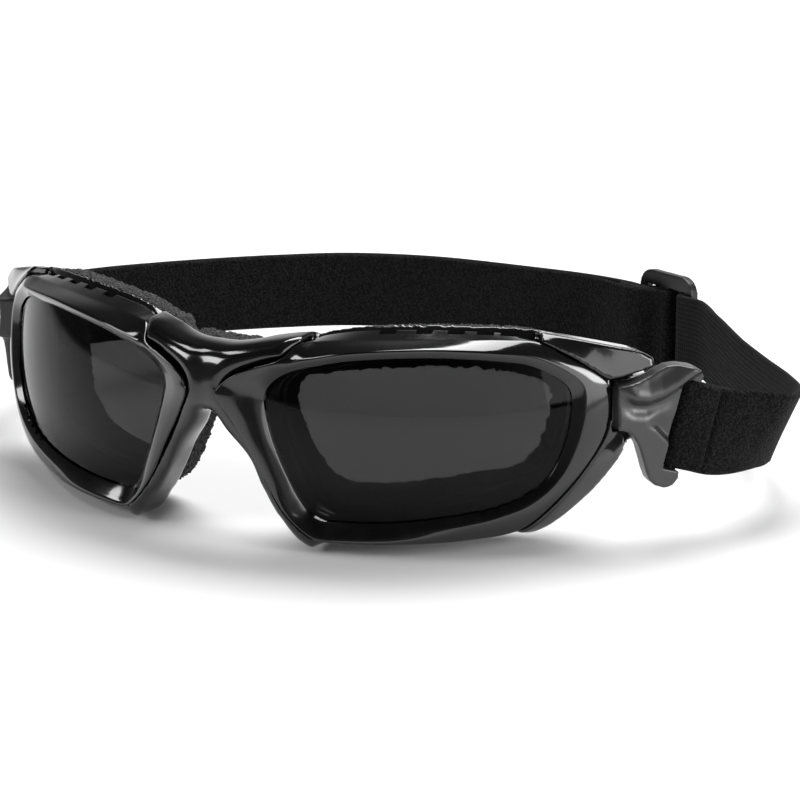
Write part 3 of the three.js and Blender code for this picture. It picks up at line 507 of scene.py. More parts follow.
def rim(side, name):
    crest = EYE.at_lens(CREST_OUT, -CREST_PROUD)
    crown = crest * 0.45 + EYE.front * 0.55 - np.array([0, 0.35, 0])
    section = np.stack([
        EYE.at_lens(0, -GAP), crest, crown, EYE.front, EYE.at_edge(EYE.flare, RIM_DEPTH),
        EYE.at_lens(CREST_OUT, RIM_BACK), EYE.at_lens(0.2, RIM_BACK), EYE.at_lens(0.2, LENS_THICKNESS + GAP),
        EYE.at_lens(LENS_LIP + GAP, LENS_THICKNESS + GAP), EYE.at_lens(LENS_LIP + GAP, -GAP),
    ], axis=1)
    radii = [0.2, 0.6, 1.3, 0.45, 0.3, 0.3, 0.2, 0.1, 0, 0]
    body = loft(name, rounded(section, radii, 4), True, side)
    brow = vents(side, BROW_VENTS, lambda eye: eye.at_edge(eye.flare, RIM_DEPTH - 0.5))
    lower = vents(side, LOWER_VENTS, lambda eye: eye.at_lens(0.4, -0.5))
    combine(body, brow + lower, "DIFFERENCE")
    return shade(body, 50)


# Rows of vents in a rim: the stations of the first and the last, and half of each slot's size.
BROW_VENTS = (7.35, 9.2, (1.7, 1.2, 0.8))
LOWER_VENTS = (15.5, 17.6, (0.6, 0.4, 0.4))


def vents(side, row, place):
    first, last, size = row
    stations = [first + (last - first) * i / (VENT_COUNT - 1) for i in range(VENT_COUNT)]
    return [vent(side, station / len(EYE_STATIONS), place, size) for station in stations]


def vent(side, along, place, size):
    """A short round-ended slot, cut where place puts it at a share of the way round the eye."""
    spots = place(Eye(np.array([along, along + 0.15 / len(EYE_STATIONS)])))
    heading = unit(spots[1] - spots[0])
    upward = unit(np.cross(unit(LENS_CENTRE - spots[0]), heading))
    inward = np.cross(heading, upward)
    angles = np.linspace(0, 2 * math.pi, 16, endpoint=False)
    half_length, half_width, half_depth = size
    us = half_length * np.clip(1.25 * np.cos(angles), -1, 1)
    vs = half_width * np.clip(1.25 * np.sin(angles), -1, 1)
    sections = [[spots[0] + heading * u + upward * v + inward * w for u, v in zip(us, vs)]
                for w in (-half_depth, half_depth)]
    return loft("vent", sections, False, side)


def lens(side, name):
    """Both faces are rings of facets that close on a point in the middle of the opening."""
    layers = 24
    middle = np.array([41.0, 17.5])
    edge = EYE.at_lens(LENS_LIP, 0)
    rings = []
    for depth in (0, LENS_THICKNESS):
        for k in range(layers):
            share = 1 - k / layers
            x = middle[0] + (edge[:, 0] - middle[0]) * share
            z = middle[1] + (edge[:, 2] - middle[1]) * share
            rings.append(deeper(on_sphere(x, z), np.full(STEPS, float(depth))))
    points = np.concatenate(rings)
    tips = [deeper(on_sphere(*middle), d) for d in (0.0, LENS_THICKNESS)]
    points = np.concatenate([points, tips])
    faces = []
    for half in range(2):
        base = half * layers * STEPS
        for k in range(layers):
            for s in range(STEPS):
                n = (s + 1) % STEPS
                a, b = base + k * STEPS + s, base + k * STEPS + n
                if k + 1 < layers:
                    quad = (a, b, b + STEPS, a + STEPS)
                else:
                    quad = (a, b, len(points) - 2 + half)
                faces.append(quad[::-1] if half else quad)
    back = layers * STEPS
    faces += [(s, back + s, back + (s + 1) % STEPS, (s + 1) % STEPS) for s in range(STEPS)]
    return shade(new_object(name, points, faces, side), 40)


def chassis_ring(side):
    """The chassis round one eye. Its shoulder lies behind the rim, and beside it along the outer end."""
    wall = (ramp(0.6, 1.6, EYE.spread) * ramp(58, 62, EYE.front[:, 0]))[:, None]
    behind_rim = EYE.at_edge(EYE.flare + EYE.lap(), RIM_DEPTH + GAP)
    beside_rim = EYE.at_edge(GAP + 0.4, 0.2)
    shoulder = behind_rim * (1 - wall) + beside_rim * wall
    inside = EYE.at_lens(RING_INSIDE, RIM_BACK + GAP)
    section = np.stack([inside, shoulder, EYE.ring_back(), EYE.behind(0, 0)], axis=1)
    return loft("ring", rounded(section, [0.2, 0.5, 0.6, 0.2], 3), True, side)


SEAM = 0.14                     # how wide the parting line round a rim is


def rim_pocket(side):
    """The room that a rim needs in the chassis, open to the front."""
    edge = EYE.at_edge(SEAM, 0)
    opening = EYE.at_lens(0.4, 0)
    forward = np.array([0, -16.0, 0])
    section = np.stack([
        opening + forward, edge + forward, edge, EYE.at_edge(EYE.flare + SEAM, RIM_DEPTH),
        EYE.at_edge(EYE.flare + SEAM, RIM_DEPTH + GAP), EYE.at_lens(CREST_OUT, RIM_BACK + GAP),
        EYE.at_lens(0.4, RIM_BACK + GAP),
    ], axis=1)
    return loft("pocket", section, True, side)


# Seam between the bridge and a rim, from its top corner to its innermost point, then down the nose arm.
UPPER_SEAM = np.array([
    (19.2, 9.4, 36.2), (16.6, 4.4, 32.9), (11.6, 2.2, 31.0), (7.4, 1.2, 29.1), (4.6, 0.4, 27.0),
    (3.6, 0.0, 24.9),
])
LOWER_SEAM = np.array([
    (3.6, 0.0, 24.9), (6.6, 1.6, 19.3), (10.9, 3.2, 12.4), (14.4, 3.8, 5.8), (17.4, 3.9, 1.5),
    (20.8, 4.6, -1.9), (23.8, 5.7, -4.0),
])
BRIDGE_HALF_WIDTH = 18.9
BRIDGE_ARCH = 20.6
BRIDGE_SETBACK = 1.3
NOSE_ARM_DEPTHS = [7.8, 7.8, 7.8, 8.2, 9.0, 9.5, 9.5]
NOSE_ARM_WIDTHS = [3.5, 4.2, 2.6, 2.3, 2.3, 2.9, 2.9]


def bridge():
    """A bar across the nose: an arch below, a crease along its front and a flat top that leans back."""
    count = 97
    x = np.linspace(-BRIDGE_HALF_WIDTH, BRIDGE_HALF_WIDTH, count)
    size = np.abs(x)
    reach = size / BRIDGE_HALF_WIDTH
    seam = UPPER_SEAM[::-1]
    seam_y = np.interp(size, seam[:, 0], seam[:, 1])
    seam_z = np.interp(size, seam[:, 0], seam[:, 2])
    arch = BRIDGE_ARCH + (seam[0, 2] - BRIDGE_ARCH) * ramp(1.6, 3.6, size)
    low_z = np.where(size < seam[0, 0], arch, seam_z)
    low_y = np.where(size < seam[0, 0], 0.0, seam_y)
    soft = np.ones(5) / 5
    low_z, low_y = (np.convolve(np.pad(v, 2, "edge"), soft, "valid") for v in (low_z, low_y))
    top_z = 34.4 + 2.4 * ramp(0.1, 1, reach)
    top_y = 3.0 + 6.6 * reach ** 2
    low_z = np.minimum(low_z + 0.2, top_z - 1.2)
    low_y = np.minimum(np.maximum(low_y, BRIDGE_SETBACK * (1 - reach * 6)), top_y)
    crease_z = low_z + (top_z - low_z) * 0.72
    crease_y = low_y + (top_y - low_y) * 0.4 - 0.5 * (1 - reach)
    back = top_y + 7.2 - 2 * reach
    rows = [(low_y, low_z), (crease_y, crease_z), (top_y, top_z), (back, top_z + 0.4), (back, low_z + 0.5)]
    section = np.stack([np.stack([x, y, z], 1) for y, z in rows], axis=1)
    return loft("bridge", rounded(section, [0.6, 3.0, 2.2, 1.0, 0.8], 6))


def nose_arm(side):
    ts = np.linspace(0, 1, 49)
    line = catmull(LOWER_SEAM, ts)
    rows = ts * (len(LOWER_SEAM) - 1)
    run = unit(np.gradient(line, axis=0) * [1, 0, 1])
    inward = np.stack([run[:, 2], np.zeros(len(run)), -run[:, 0]], 1)
    points = np.arange(len(LOWER_SEAM))
    edge = line + inward * np.interp(rows, points, NOSE_ARM_WIDTHS)[:, None]
    corner = line - inward * 1.2
    back = np.interp(rows, points, NOSE_ARM_DEPTHS)[:, None] * [0, 1, 0]
    sections = np.stack([corner, line, edge + [0, 0.9, 0], edge + back, corner + back], axis=1)
    return loft("arm", rounded(sections, [0.2, 0.3, 1.1, 0.9, 0.3], 4), False, side)


# Corners of the end piece's outline, from the rim out to its tip beside the clip.
END_PIECE = np.array([
    [(64.6, 25.2, 38.2), (63.2, 27.2, 39.7), (58.5, 33.0, 38.6), (60.0, 30.0, 36.5)],
    [(70.2, 29.3, 34.4), (69.2, 31.0, 38.3), (64.5, 37.0, 37.4), (66.0, 35.0, 33.2)],
    [(75.6, 33.4, 30.2), (75.2, 35.0, 36.8), (71.0, 40.5, 36.2), (71.6, 38.8, 30.6)],
    [(79.2, 36.9, 31.2), (78.9, 38.2, 35.7), (75.2, 42.8, 35.2), (75.8, 41.6, 31.4)],
    [(81.8, 39.6, 32.3), (81.5, 40.4, 34.1), (79.4, 42.6, 33.8), (79.7, 41.9, 32.5)],
])


def end_piece(side):
    ts = np.linspace(0, 1, 33)
    corners = np.stack([catmull(END_PIECE[:, k], ts) for k in range(4)], axis=1)
    return loft("end", rounded(corners, [0.4, 0.4, 0.8, 0.8], 4), False, side)


# ---- clip hinge --------------------------------------------------------------
def from_place(place, heading, outward, along, out, z):
    """Points given by how far they are along a heading and outward from a place, and by their height."""
    along, out, z = np.broadcast_arrays(*(np.asarray(v, float)[..., None] for v in (along, out, z)))
    return place * [1, 1, 0] + along * heading + out * outward + z * np.array([0, 0, 1.0])


def at_clip(along, out, z):
    return from_place(HINGE_FRONT, CLIP_HEADING, CLIP_OUTWARD, along, out, z)


def at_bar(behind, up):
    """Along and height of a point given from the middle of the leaning bar."""
    c, s = math.cos(BAR_LEAN), math.sin(BAR_LEAN)
    return BAR_MIDDLE[0] + behind * c + up * s, BAR_MIDDLE[1] - behind * s + up * c


def upright(name, outline, inner, outer, side, place=at_clip):
    """An outline in an upright plane, thickened between two outward offsets."""
    u, z = np.array(outline, float).T
    return loft(name, [place(u, np.full(len(u), o), z) for o in (inner, outer)], False, side)


def round_post(name, centre, radius, bottom, top, side, dome=0.0, sides=40):
    angles = np.linspace(0, 2 * math.pi, sides, endpoint=False)
    circle = np.stack([np.cos(angles), np.sin(angles), 0 * angles], 1)
    levels = [(bottom, 1 - dome * 0.35), (bottom + dome, 1.0), (top - dome, 1.0), (top, 1 - dome * 0.35)]
    if not dome:
        levels = [(bottom, 1.0), (top, 1.0)]
    sections = [centre * [1, 1, 0] + circle * radius * k + np.array([0, 0, z]) for z, k in levels]
    return loft(name, sections, False, side)


HINGE_AXIS = at_clip(HINGE_SETBACK, -HINGE_INSET, 0)


LUG_ROOT = -4.0                 # how far along the clip's heading the lugs begin, inside the chassis


def lugs(side):
    """Two plates with round ends that hold the pin above and below the clip's barrel."""
    turn = np.linspace(-math.pi / 2, math.pi / 2, 17)
    outline = [(HINGE_SETBACK + BARREL_RADIUS * math.cos(a), -HINGE_INSET + BARREL_RADIUS * math.sin(a))
               for a in turn]
    outline += [(LUG_ROOT, -HINGE_INSET + BARREL_RADIUS), (LUG_ROOT, -HINGE_INSET - BARREL_RADIUS - 1.0)]
    along, out = np.array(outline).T
    pieces = []
    for levels in LUGS:
        sections = [at_clip(along, out, np.full(len(along), z)) for z in levels]
        pieces.append(loft("lug", sections, False, side))
    return pieces


def clip_room(side):
    """What is cut from the chassis so that the clip and its pin can turn."""
    bottom, top = BARREL[0] - GAP, BARREL[1] + GAP
    throat = [(1.0, bottom), (12, bottom), (12, top), (1.0, top)]
    heel = [(2.9, top), (2.9, 19.6), (4.1, 18.4), (4.1, bottom - 3), (12, bottom - 3), (12, top)]
    return [
        round_post("room", HINGE_AXIS, BARREL_RADIUS + GAP, bottom, top, side),
        upright("room", throat, -HINGE_INSET, CLIP_OUTER + 3, side),
        upright("room", heel, CLIP_INNER - GAP, CLIP_OUTER + 3, side),
        round_post("room", HINGE_AXIS, PIN_RADIUS + PIN_PLAY, LUGS[0][0] - 1, LUGS[1][1] - 0.6, side),
    ]


def chassis():
    body = bridge()
    parts = [make(side) for side in (-1, 1) for make in (chassis_ring, nose_arm, end_piece)]
    parts += lugs(-1) + lugs(1)
    combine(body, parts, "UNION")
    soften(body, 0.4, 2)
    melt(body, bridge_share, 240)
    combine(body, [rim_pocket(-1), rim_pocket(1), *clip_room(-1), *clip_room(1)], "DIFFERENCE")
    body.name = "chassis"
    soften(body, 0.26, 4)
    return shade(body, 0)


def bridge_share(p):
    """How much each point belongs to the bridge and the tops of the nose arms."""
    saddle = ramp(17, 12, np.abs(p[:, 0])) * ramp(6, 14, p[:, 2]) * ramp(11, 8, p[:, 1])
    tips = 0.25 * ramp(30, 26, np.abs(p[:, 0])) * ramp(1.5, -1.5, p[:, 2])
    return np.maximum(saddle, tips)


def melt(obj, share, passes):
    """Relaxes a mesh, but only as far as share says at each point, so that its shapes run together."""
    weights = np.round(share(own_points(obj)) * 10) / 10
    group = obj.vertex_groups.new(name="melt")
    for weight in np.unique(weights[weights > 0]):
        group.add(np.flatnonzero(weights == weight).tolist(), float(weight), "REPLACE")
    relax = obj.modifiers.new("relax", "SMOOTH")
    relax.factor = 0.5
    relax.iterations = passes
    relax.vertex_group = "melt"
    settle(obj)
    obj.vertex_groups.clear()


def own_points(obj):
    """A mesh's points in the goggles' own frame, in millimetres."""
    co = np.zeros(len(obj.data.vertices) * 3, np.float32)
    obj.data.vertices.foreach_get("co", co)
    return (co.reshape(-1, 3) - OFFSET) @ TIP * 1000


def set_points(obj, points):
    obj.data.vertices.foreach_set("co", to_row(points).astype(np.float32).ravel())
    obj.data.update()


CLIP_OUTLINE = [
    (1.6, 20.3), (2.6, 20.3), (3.8, 19.9), (5.0, 18.7), (6.0, 16.8), (6.7, 14.6), (7.4, 12.1), (8.2, 9.9),
    (9.4, 8.7), (11.5, 8.0), (13.2, 8.4), (14.4, 9.9), at_bar(BAR_HALF_WIDTH, -SLOT_HALF),
    at_bar(BAR_HALF_WIDTH, SLOT_HALF), (19.8, 30.0), (18.6, 31.7), (16.9, 32.5), (13.9, 33.0),
    (11.8, 32.8), (9.8, 31.9), (8.2, 31.0), (5.7, 30.1), (3.0, 29.4), (1.6, 29.2),
]
SLOT_FRONT = -2.9
# Along and height of the edge under the wing, and of the ridge that runs down the leg.
WING_LIP = np.array([
    (1.6, 28.5), (2.8, 28.1), (5.0, 27.1), (7.7, 26.8), (10.4, 27.5), (13.0, 28.8), (16.8, 31.4), (20, 33),
])
LEG_RIDGE = np.array([(4.0, 20.6), (7.5, 20.9), (9.6, 20.1), (12.0, 17.6), (13.9, 15.0), (14.6, 12.0)])


def clip(side, name):
    """Hinged clip: a barrel, a wing over the top of the strap, a waist, and a leg below the bar."""
    def window(front, back):
        corners = ((front, -1), (back, -1), (back, 1), (front, 1))
        return [at_bar(behind, end * SLOT_HALF) for behind, end in corners]

    relief = window(SLOT_FRONT, 4 * BAR_HALF_WIDTH)
    web = [(2.4, BARREL[0]), (6.4, BARREL[0]), (6.4, BARREL[1]), (2.4, BARREL[1])]
    body = upright("clip", CLIP_OUTLINE, CLIP_INNER, CLIP_OUTER, side)
    soften(body, 0.3, 3)
    sculpt(body, side)
    combine(body, [
        upright("cut", window(SLOT_FRONT, -BAR_HALF_WIDTH), CLIP_INNER - 1, CLIP_OUTER + 4, side),
        upright("cut", relief, BAR_OUTER, CLIP_OUTER + 4, side),
        upright("cut", relief, CLIP_INNER - 1, BAR_INNER, side),
    ], "DIFFERENCE")
    combine(body, [
        upright("web", web, -HINGE_INSET, CLIP_INNER + 0.1, side),
        round_post("barrel", HINGE_AXIS, BARREL_RADIUS, *BARREL, side),
    ], "UNION")
    hole = round_post("hole", HINGE_AXIS, PIN_RADIUS + PIN_PLAY, BARREL[0] - 1, BARREL[1] + 1, side)
    combine(body, [hole], "DIFFERENCE")
    soften(body, 0.2, 7)
    points = own_points(body) * [side, 1, 1]
    set_points(body, fold_in(points, side) * [side, 1, 1])
    body.name = name
    return shade(body, 0)


def fold_in(points, side):
    """Turns points of a left-hand clip inward about its hinge, as far as the clip of that side lies."""
    c, s = math.cos(FOLDED[side]), math.sin(FOLDED[side])
    x, y, z = np.moveaxis(np.asarray(points, float) - HINGE_AXIS, -1, 0)
    return np.stack([x * c - y * s, x * s + y * c, z], -1) + HINGE_AXIS


def sculpt(body, side):
    """Shapes the clip's outer face: a wing with a lip, a hollow below it, a waist and a ridged leg."""
    p = own_points(body) * [side, 1, 1]
    local = p - HINGE_FRONT
    along, out, z = local @ CLIP_HEADING, local @ CLIP_OUTWARD, p[:, 2]
    over = z - np.interp(along, WING_LIP[:, 0], WING_LIP[:, 1])
    above = 1.5 - 1.7 * ramp(0, 4.6, over)
    below = 1.5 - 2.2 * ramp(0, 2.3, -over) + 1.1 * ramp(2.2, 5.6, -over) * ramp(15, 8, along)
    wing = np.where(over > 0, above, below) * ramp(0.9, 5.5, along)
    down = np.interp(along, LEG_RIDGE[:, 0], LEG_RIDGE[:, 1]) - z
    leg = 0.3 - 1.3 * ramp(0.5, -1.2, down) * ramp(7.0, 11.0, along)
    lift = wing + (leg - wing) * ramp(24.0, 20.5, z)
    lift = lift * ramp(-1.6, 0.8, out)
    set_points(body, (p + CLIP_OUTWARD * lift[:, None]) * [side, 1, 1])


def pin(side, name):
    shaft = round_post("shaft", HINGE_AXIS, PIN_RADIUS, LUGS[0][0] - 0.5, LUGS[1][1] - 0.8, side)
    top = LUGS[0][0] - GAP
    head = round_post("head", HINGE_AXIS, PIN_HEAD_RADIUS, top - PIN_HEAD_HEIGHT, top, side, 0.15)
    combine(shaft, [head], "UNION")
    shaft.name = name
    return shade(shaft, 40)


# ---- gasket ------------------------------------------------------------------
def carrier(side, name):
    """A thin plate behind the chassis that the foam is glued to."""
    inset = np.clip(EYE.inset() - 0.5, -0.7, 0.4)
    reach = EYE.reach() - 0.06
    section = np.stack([
        EYE.at_lens(-inset, LENS_DEPTH + GAP), EYE.behind(0, GAP), EYE.behind(reach, GAP),
        EYE.behind(reach, GAP + CARRIER_THICKNESS), EYE.behind(0, GAP + CARRIER_THICKNESS),
        EYE.at_lens(-inset, LENS_DEPTH + GAP + CARRIER_THICKNESS),
    ], axis=1)
    return shade(loft(name, rounded(section, [0.3, 0, 0.3, 0.3, 0, 0.3], 2), True, side), 50)


FOAM_TORN = 0.75                # how far the cut inner edge of the foam wanders in and out


def foam_ring(side):
    """The foam round one eye. Its inner edge is torn, and its back is hollowed beside the nose."""
    front = GAP + CARRIER_THICKNESS + GAP
    torn = np.array([noise.noise(Vector((k * 0.4, side, 0))) + noise.noise(Vector((k * 0.95, side, 5)))
                     for k in range(STEPS)]) * FOAM_TORN
    inset, reach = EYE.inset() + torn, EYE.reach()
    hollow = 0.65 * np.clip(-EYE.way[:, 0], 0, 1) - 0.2 - torn * 0.2
    section = np.stack([
        EYE.at_lens(-inset, LENS_DEPTH + front),
        EYE.behind(0, front),
        EYE.behind(reach, front),
        EYE.behind(reach * 0.98, front + FOAM_DEPTH * 0.7),
        EYE.behind(reach * 0.7, front + FOAM_DEPTH),
        EYE.behind(hollow, front + FOAM_DEPTH * 0.95),
        EYE.at_lens(-inset, LENS_DEPTH + front + FOAM_DEPTH * 0.6),
    ], axis=1)
    return loft("foam_ring", rounded(section, [0.3, 0, 0.5, 2, 2.5, 2, 2], 3), True, side)


PAD_HALF_WIDTH, PAD_FRONT, PAD_BACK, PAD_BOTTOM, PAD_TOP = 11, 12.0, 18.0, 24.5, 33.4


def foam():
    """Both rings and the pad between them behind the bridge, as one cut piece."""
    x = np.linspace(-PAD_HALF_WIDTH, PAD_HALF_WIDTH, 25)
    bend = 1.6 * (x / PAD_HALF_WIDTH) ** 2
    front, deep = PAD_FRONT + bend, PAD_BACK + bend
    rows = [(front, PAD_BOTTOM), (front, PAD_TOP), (deep - 1.5, PAD_TOP + 0.6), (deep, PAD_TOP - 2),
            (deep, PAD_BOTTOM + 1)]
    pad = np.stack([np.stack([x, y, np.full(len(x), z)], 1) for y, z in rows], axis=1)
    body = foam_ring(1)
    combine(body, [foam_ring(-1), loft("pad", rounded(pad, [0.5, 1, 1, 1, 1], 3))], "UNION")
    body.name = "face_gasket_foam"
    soften(body, 0.32, 2)
    ruffle(body, [(700, 0.00016), (1500, 0.00018), (2600, 0.00014)])
    return shade(body, 0)


def ruffle(obj, layers):
    """Pushes every point in or out by noise, as cut open-cell foam is: (scale per metre, size in metres)."""
    mesh = obj.data
    count = len(mesh.vertices)
    co = np.zeros(count * 3, np.float32)
    normal = np.zeros(count * 3, np.float32)
    mesh.vertices.foreach_get("co", co)
    mesh.vertex_normals.foreach_get("vector", normal)
    co, normal = co.reshape(-1, 3), normal.reshape(-1, 3)
    push = np.zeros(count)
    for scale, size in layers:
        push += np.array([noise.noise(Vector(p * scale)) for p in co.astype(float)]) * size * 2
    mesh.vertices.foreach_set("co", (co + normal * push[:, None]).astype(np.float32).ravel())
    mesh.update()


# ---- strap -------------------------------------------------------------------
# How the band turns round a clip's bar: behind the bar and outward from it, inner layer first.
TURN_INSIDE = [(4.6, -0.75), (2.4, -1.35), (0.3, -1.8), (-1.45, -1.42)]
TURN_OUTSIDE = [(-1.45, 1.42), (0.3, 1.8), (3.0, 1.75)]
# The single run from the left clip to the slider: x, y, z, and how its upper edge leans in x and y.
SINGLE_RUN = [
    (95.2, 56.0, 17.7, 0.28, 0.12), (97.7, 61.6, 16.8, 0.47, 0.0), (96.8, 68.0, 16.6, 0.46, -0.02),
    (92.2, 75.6, 16.4, 0.34, 0.0), (83.4, 86.6, 16.3, 0.16, 0.0), (72.0, 98.6, 17.2, 0.05, 0.0),
    (61.0, 110.2, 18.8, 0.0, 0.0),
]
# The doubled run behind the head, from the slider to the right clip: x and y between its two layers.
BACK_RUN = np.array([
    (18, 130.4), (0, 131.0), (-25, 129.6), (-44, 122.6), (-57.5, 110.8), (-67.5, 99.6), (-76.4, 87.6),
    (-83.6, 75.6), (-86.8, 64.4),
])
# The band through the slider, then its end sewn round the slider's bar: along the slider and outward.
THREADED = [
    (-14.5, -2.0), (-9.5, -1.95), (-7.0, -1.95), (-5.6, -1.3), (-4.6, 0.3), (-3.4, 2.4), (-1.8, 3.5),
    (0, 3.75), (1.8, 3.5), (3.5, 2.6), (4.7, 0.4), (5.4, -1.4), (7.2, -1.95), (9.5, -1.95), (12, -2.0),
]
LOOP = [
    (12, -5.4), (7, -5.35), (4.3, -4.5), (2, -2.6), (0, -1.95), (-1.75, -1.65), (-2.15, 0),
    (-1.75, 1.65), (0, 1.95), (1.75, 1.65), (2.15, 0), (3.3, -1.6), (5.4, -3.2), (7.5, -3.7), (13, -3.75),
]


def clip_rows(side, turn):
    """Rows of the band round one clip's bar, leaning as the bar does."""
    heading = fold_in(HINGE_AXIS + CLIP_HEADING, side) - HINGE_AXIS
    lean = heading * [side, 1, 1] * math.tan(BAR_LEAN)
    rows = []
    for behind, out in turn:
        along, z = at_bar(behind, 0)
        p = fold_in(at_clip(along, (BAR_INNER + BAR_OUTER) / 2 + out, z), side)
        rows.append((p[0] * side, p[1], p[2], lean[0], lean[1]))
    return rows


def at_slider(along, out, z):
    return from_place(SLIDER_CENTRE, SLIDER_HEADING, SLIDER_OUT, along, out, z)


def slider_rows(points):
    return [(*at_slider(along, out, SLIDER_CENTRE[2]), 0, 0) for along, out in points]


def back_rows(offset):
    """Rows of one layer of the doubled run, offset to one side of its middle."""
    heading = np.gradient(BACK_RUN, axis=0)
    heading /= np.linalg.norm(heading, axis=1, keepdims=True)
    return [(x + h[1] * offset, y - h[0] * offset, 20.0, 0, 0) for (x, y), h in zip(BACK_RUN, heading)]


# The strap is one band of elastic, from its sewn end at the left clip to its sewn end at the slider.
BAND = (
    clip_rows(1, [(8.6, -0.45), *TURN_INSIDE, (-1.8, 0), *TURN_OUTSIDE, (7.6, 1.35)]) + SINGLE_RUN
    + slider_rows(THREADED) + back_rows(LAYER_PITCH / 2)
    + clip_rows(-1, [(7.0, 1.7), *TURN_OUTSIDE[::-1], (-1.8, 0), *TURN_INSIDE[::-1][:3], (7.0, -1.3)])
    + back_rows(-LAYER_PITCH / 2)[::-1] + slider_rows(LOOP)
)
BAND_STEPS = 10
# Rows of BAND where one piece of the strap ends and the next begins.
SINGLE_SPLIT = 14
SLIDER_SPLIT = 10 + len(SINGLE_RUN) + len(THREADED) - 1
OUTER_SPLIT = SLIDER_SPLIT + 4
INNER_SPLIT = OUTER_SPLIT + 5 + 9 + 6
BAND_END = len(BAND) - 1


def band_frames():
    """The band's middle line, its directions across and out of its face, and the length so far."""
    rows = np.array(BAND)
    count = BAND_END * BAND_STEPS
    ts = np.arange(count + 1) / count
    centre = catmull(rows[:, :3], ts)
    nudge = 0.002 / 3
    ahead = catmull(rows[:, :3], np.minimum(1, ts + nudge))
    behind = catmull(rows[:, :3], np.maximum(0, ts - nudge))
    heading = unit(ahead - behind)
    lean = unit(catmull(np.stack([rows[:, 3], rows[:, 4], np.ones(len(rows))], 1), ts))
    facing = unit(np.cross(heading, lean))
    across = np.cross(facing, heading)
    along = np.concatenate([[0], np.cumsum(np.linalg.norm(np.diff(centre, axis=0), axis=1))])
    return centre, across, facing, along


FRAMES = band_frames()
FACE_POINTS = 40
SEAM_DIP, SEAM_WIDTH = 0.75, 0.35       # how deep a sewn seam pulls the faces in (share), and its half width


def strap(name, first, last, seams=()):
    """The band between two rows. Its inner face is ribbed, and both dip where a seam pulls them in."""
    cut = slice(first * BAND_STEPS, last * BAND_STEPS + 1)
    centre, across, facing, along = (v[cut] for v in FRAMES)
    w = np.linspace(-1, 1, FACE_POINTS)
    edge = np.sqrt(np.clip(1 - np.clip((np.abs(w) - 0.965) / 0.035, 0, 1) ** 2, 0.03, 1))
    dip = np.ones(len(along))
    for row in seams:
        at = FRAMES[3][int(row * BAND_STEPS)]
        dip -= SEAM_DIP * np.exp(-((along - at) / SEAM_WIDTH) ** 2)
    rib = 1 + 0.07 * np.cos(w * math.pi * 16)
    sections, weave = [], []
    for i in range(len(along)):
        middle = centre[i] + across[i] * w[:, None] * STRAP_WIDTH / 2
        outer = middle + facing[i] * (edge * dip[i])[:, None] * STRAP_THICKNESS / 2
        inner = middle - facing[i] * (edge * dip[i] * rib)[:, None] * STRAP_THICKNESS / 2
        sections.append(np.concatenate([outer, inner[::-1]]))
        woven = np.stack([np.full(FACE_POINTS, along[i]), w * STRAP_WIDTH / 2, np.ones(FACE_POINTS)], 1)
        weave.append(np.concatenate([woven, (woven * [1, 1, 0])[::-1]]))
    obj = loft(name, sections)
    layer = obj.data.attributes.new("weave", "FLOAT_VECTOR", "POINT")
    layer.data.foreach_set("vector", np.concatenate(weave).astype(np.float32).ravel())
    return shade(obj, 60), float(along[-1] - along[0]) * 0.001


def slider(name):
    """A plate with round corners and two slots, which leave a bar between them."""
    length, height, corner = SLIDER_LENGTH / 2, SLIDER_HEIGHT / 2, SLIDER_CORNER
    outline = []
    for x, z, start in ((1, 1, 0), (-1, 1, 1), (-1, -1, 2), (1, -1, 3)):
        middle_x = x * (length - corner)
        middle_z = SLIDER_CENTRE[2] + z * (height - corner)
        for a in np.linspace(start, start + 1, 9) * math.pi / 2:
            outline.append((middle_x + corner * math.cos(a), middle_z + corner * math.sin(a)))
    body = upright("slider", outline, -SLIDER_THICKNESS / 2, SLIDER_THICKNESS / 2, 1, at_slider)
    low, high = SLIDER_CENTRE[2] - SLOT_HALF, SLIDER_CENTRE[2] + SLOT_HALF
    slots = []
    for x in (-1, 1):
        near, far = sorted((x * SLIDER_BAR / 2, x * (length - SLIDER_BAR)))
        window = [(near, low), (far, low), (far, high), (near, high)]
        slots.append(upright("slot", window, -SLIDER_THICKNESS, SLIDER_THICKNESS, 1, at_slider))
    combine(body, slots, "DIFFERENCE")
    soften(body, 0.22, 5)
    body.name = name
    return shade(body, 0)


# ---- the object --------------------------------------------------------------
finish_piece(chassis(), GLOSS, "frame", ["main_frame"])
gasket = finish_piece(foam(), FOAM, "frame", ["face_foam"])
for side, hand in ((1, "left"), (-1, "right")):
    unit_body, clip_body = f"lens_unit_{hand}", f"clip_{hand}"
    finish_piece(rim(side, f"rim_{hand}"), GLOSS, unit_body, [f"lens_rim_{hand}"])
    finish_piece(lens(side, f"tinted_lens_{hand}"), SMOKE, unit_body, [f"lens_{hand}"])
    finish_piece(carrier(side, f"carrier_{hand}"), SOFT, "frame", [f"gasket_carrier_{hand}"])
    finish_piece(clip(side, f"clip_{hand}_body"), SATIN, clip_body, [f"strap_clip_{hand}"])
    finish_piece(pin(side, f"pin_{hand}"), STEEL, "frame", [f"hinge_pin_{hand}"])
finish_piece(slider("slider_plate"), SOFT, "slider", ["strap_slider"])


def row_point(index):
    return tuple(to_row(np.array(BAND[index][:3])))


LEFT_SEAM, SLIDER_SEAM = 8.6, BAND_END - 0.6
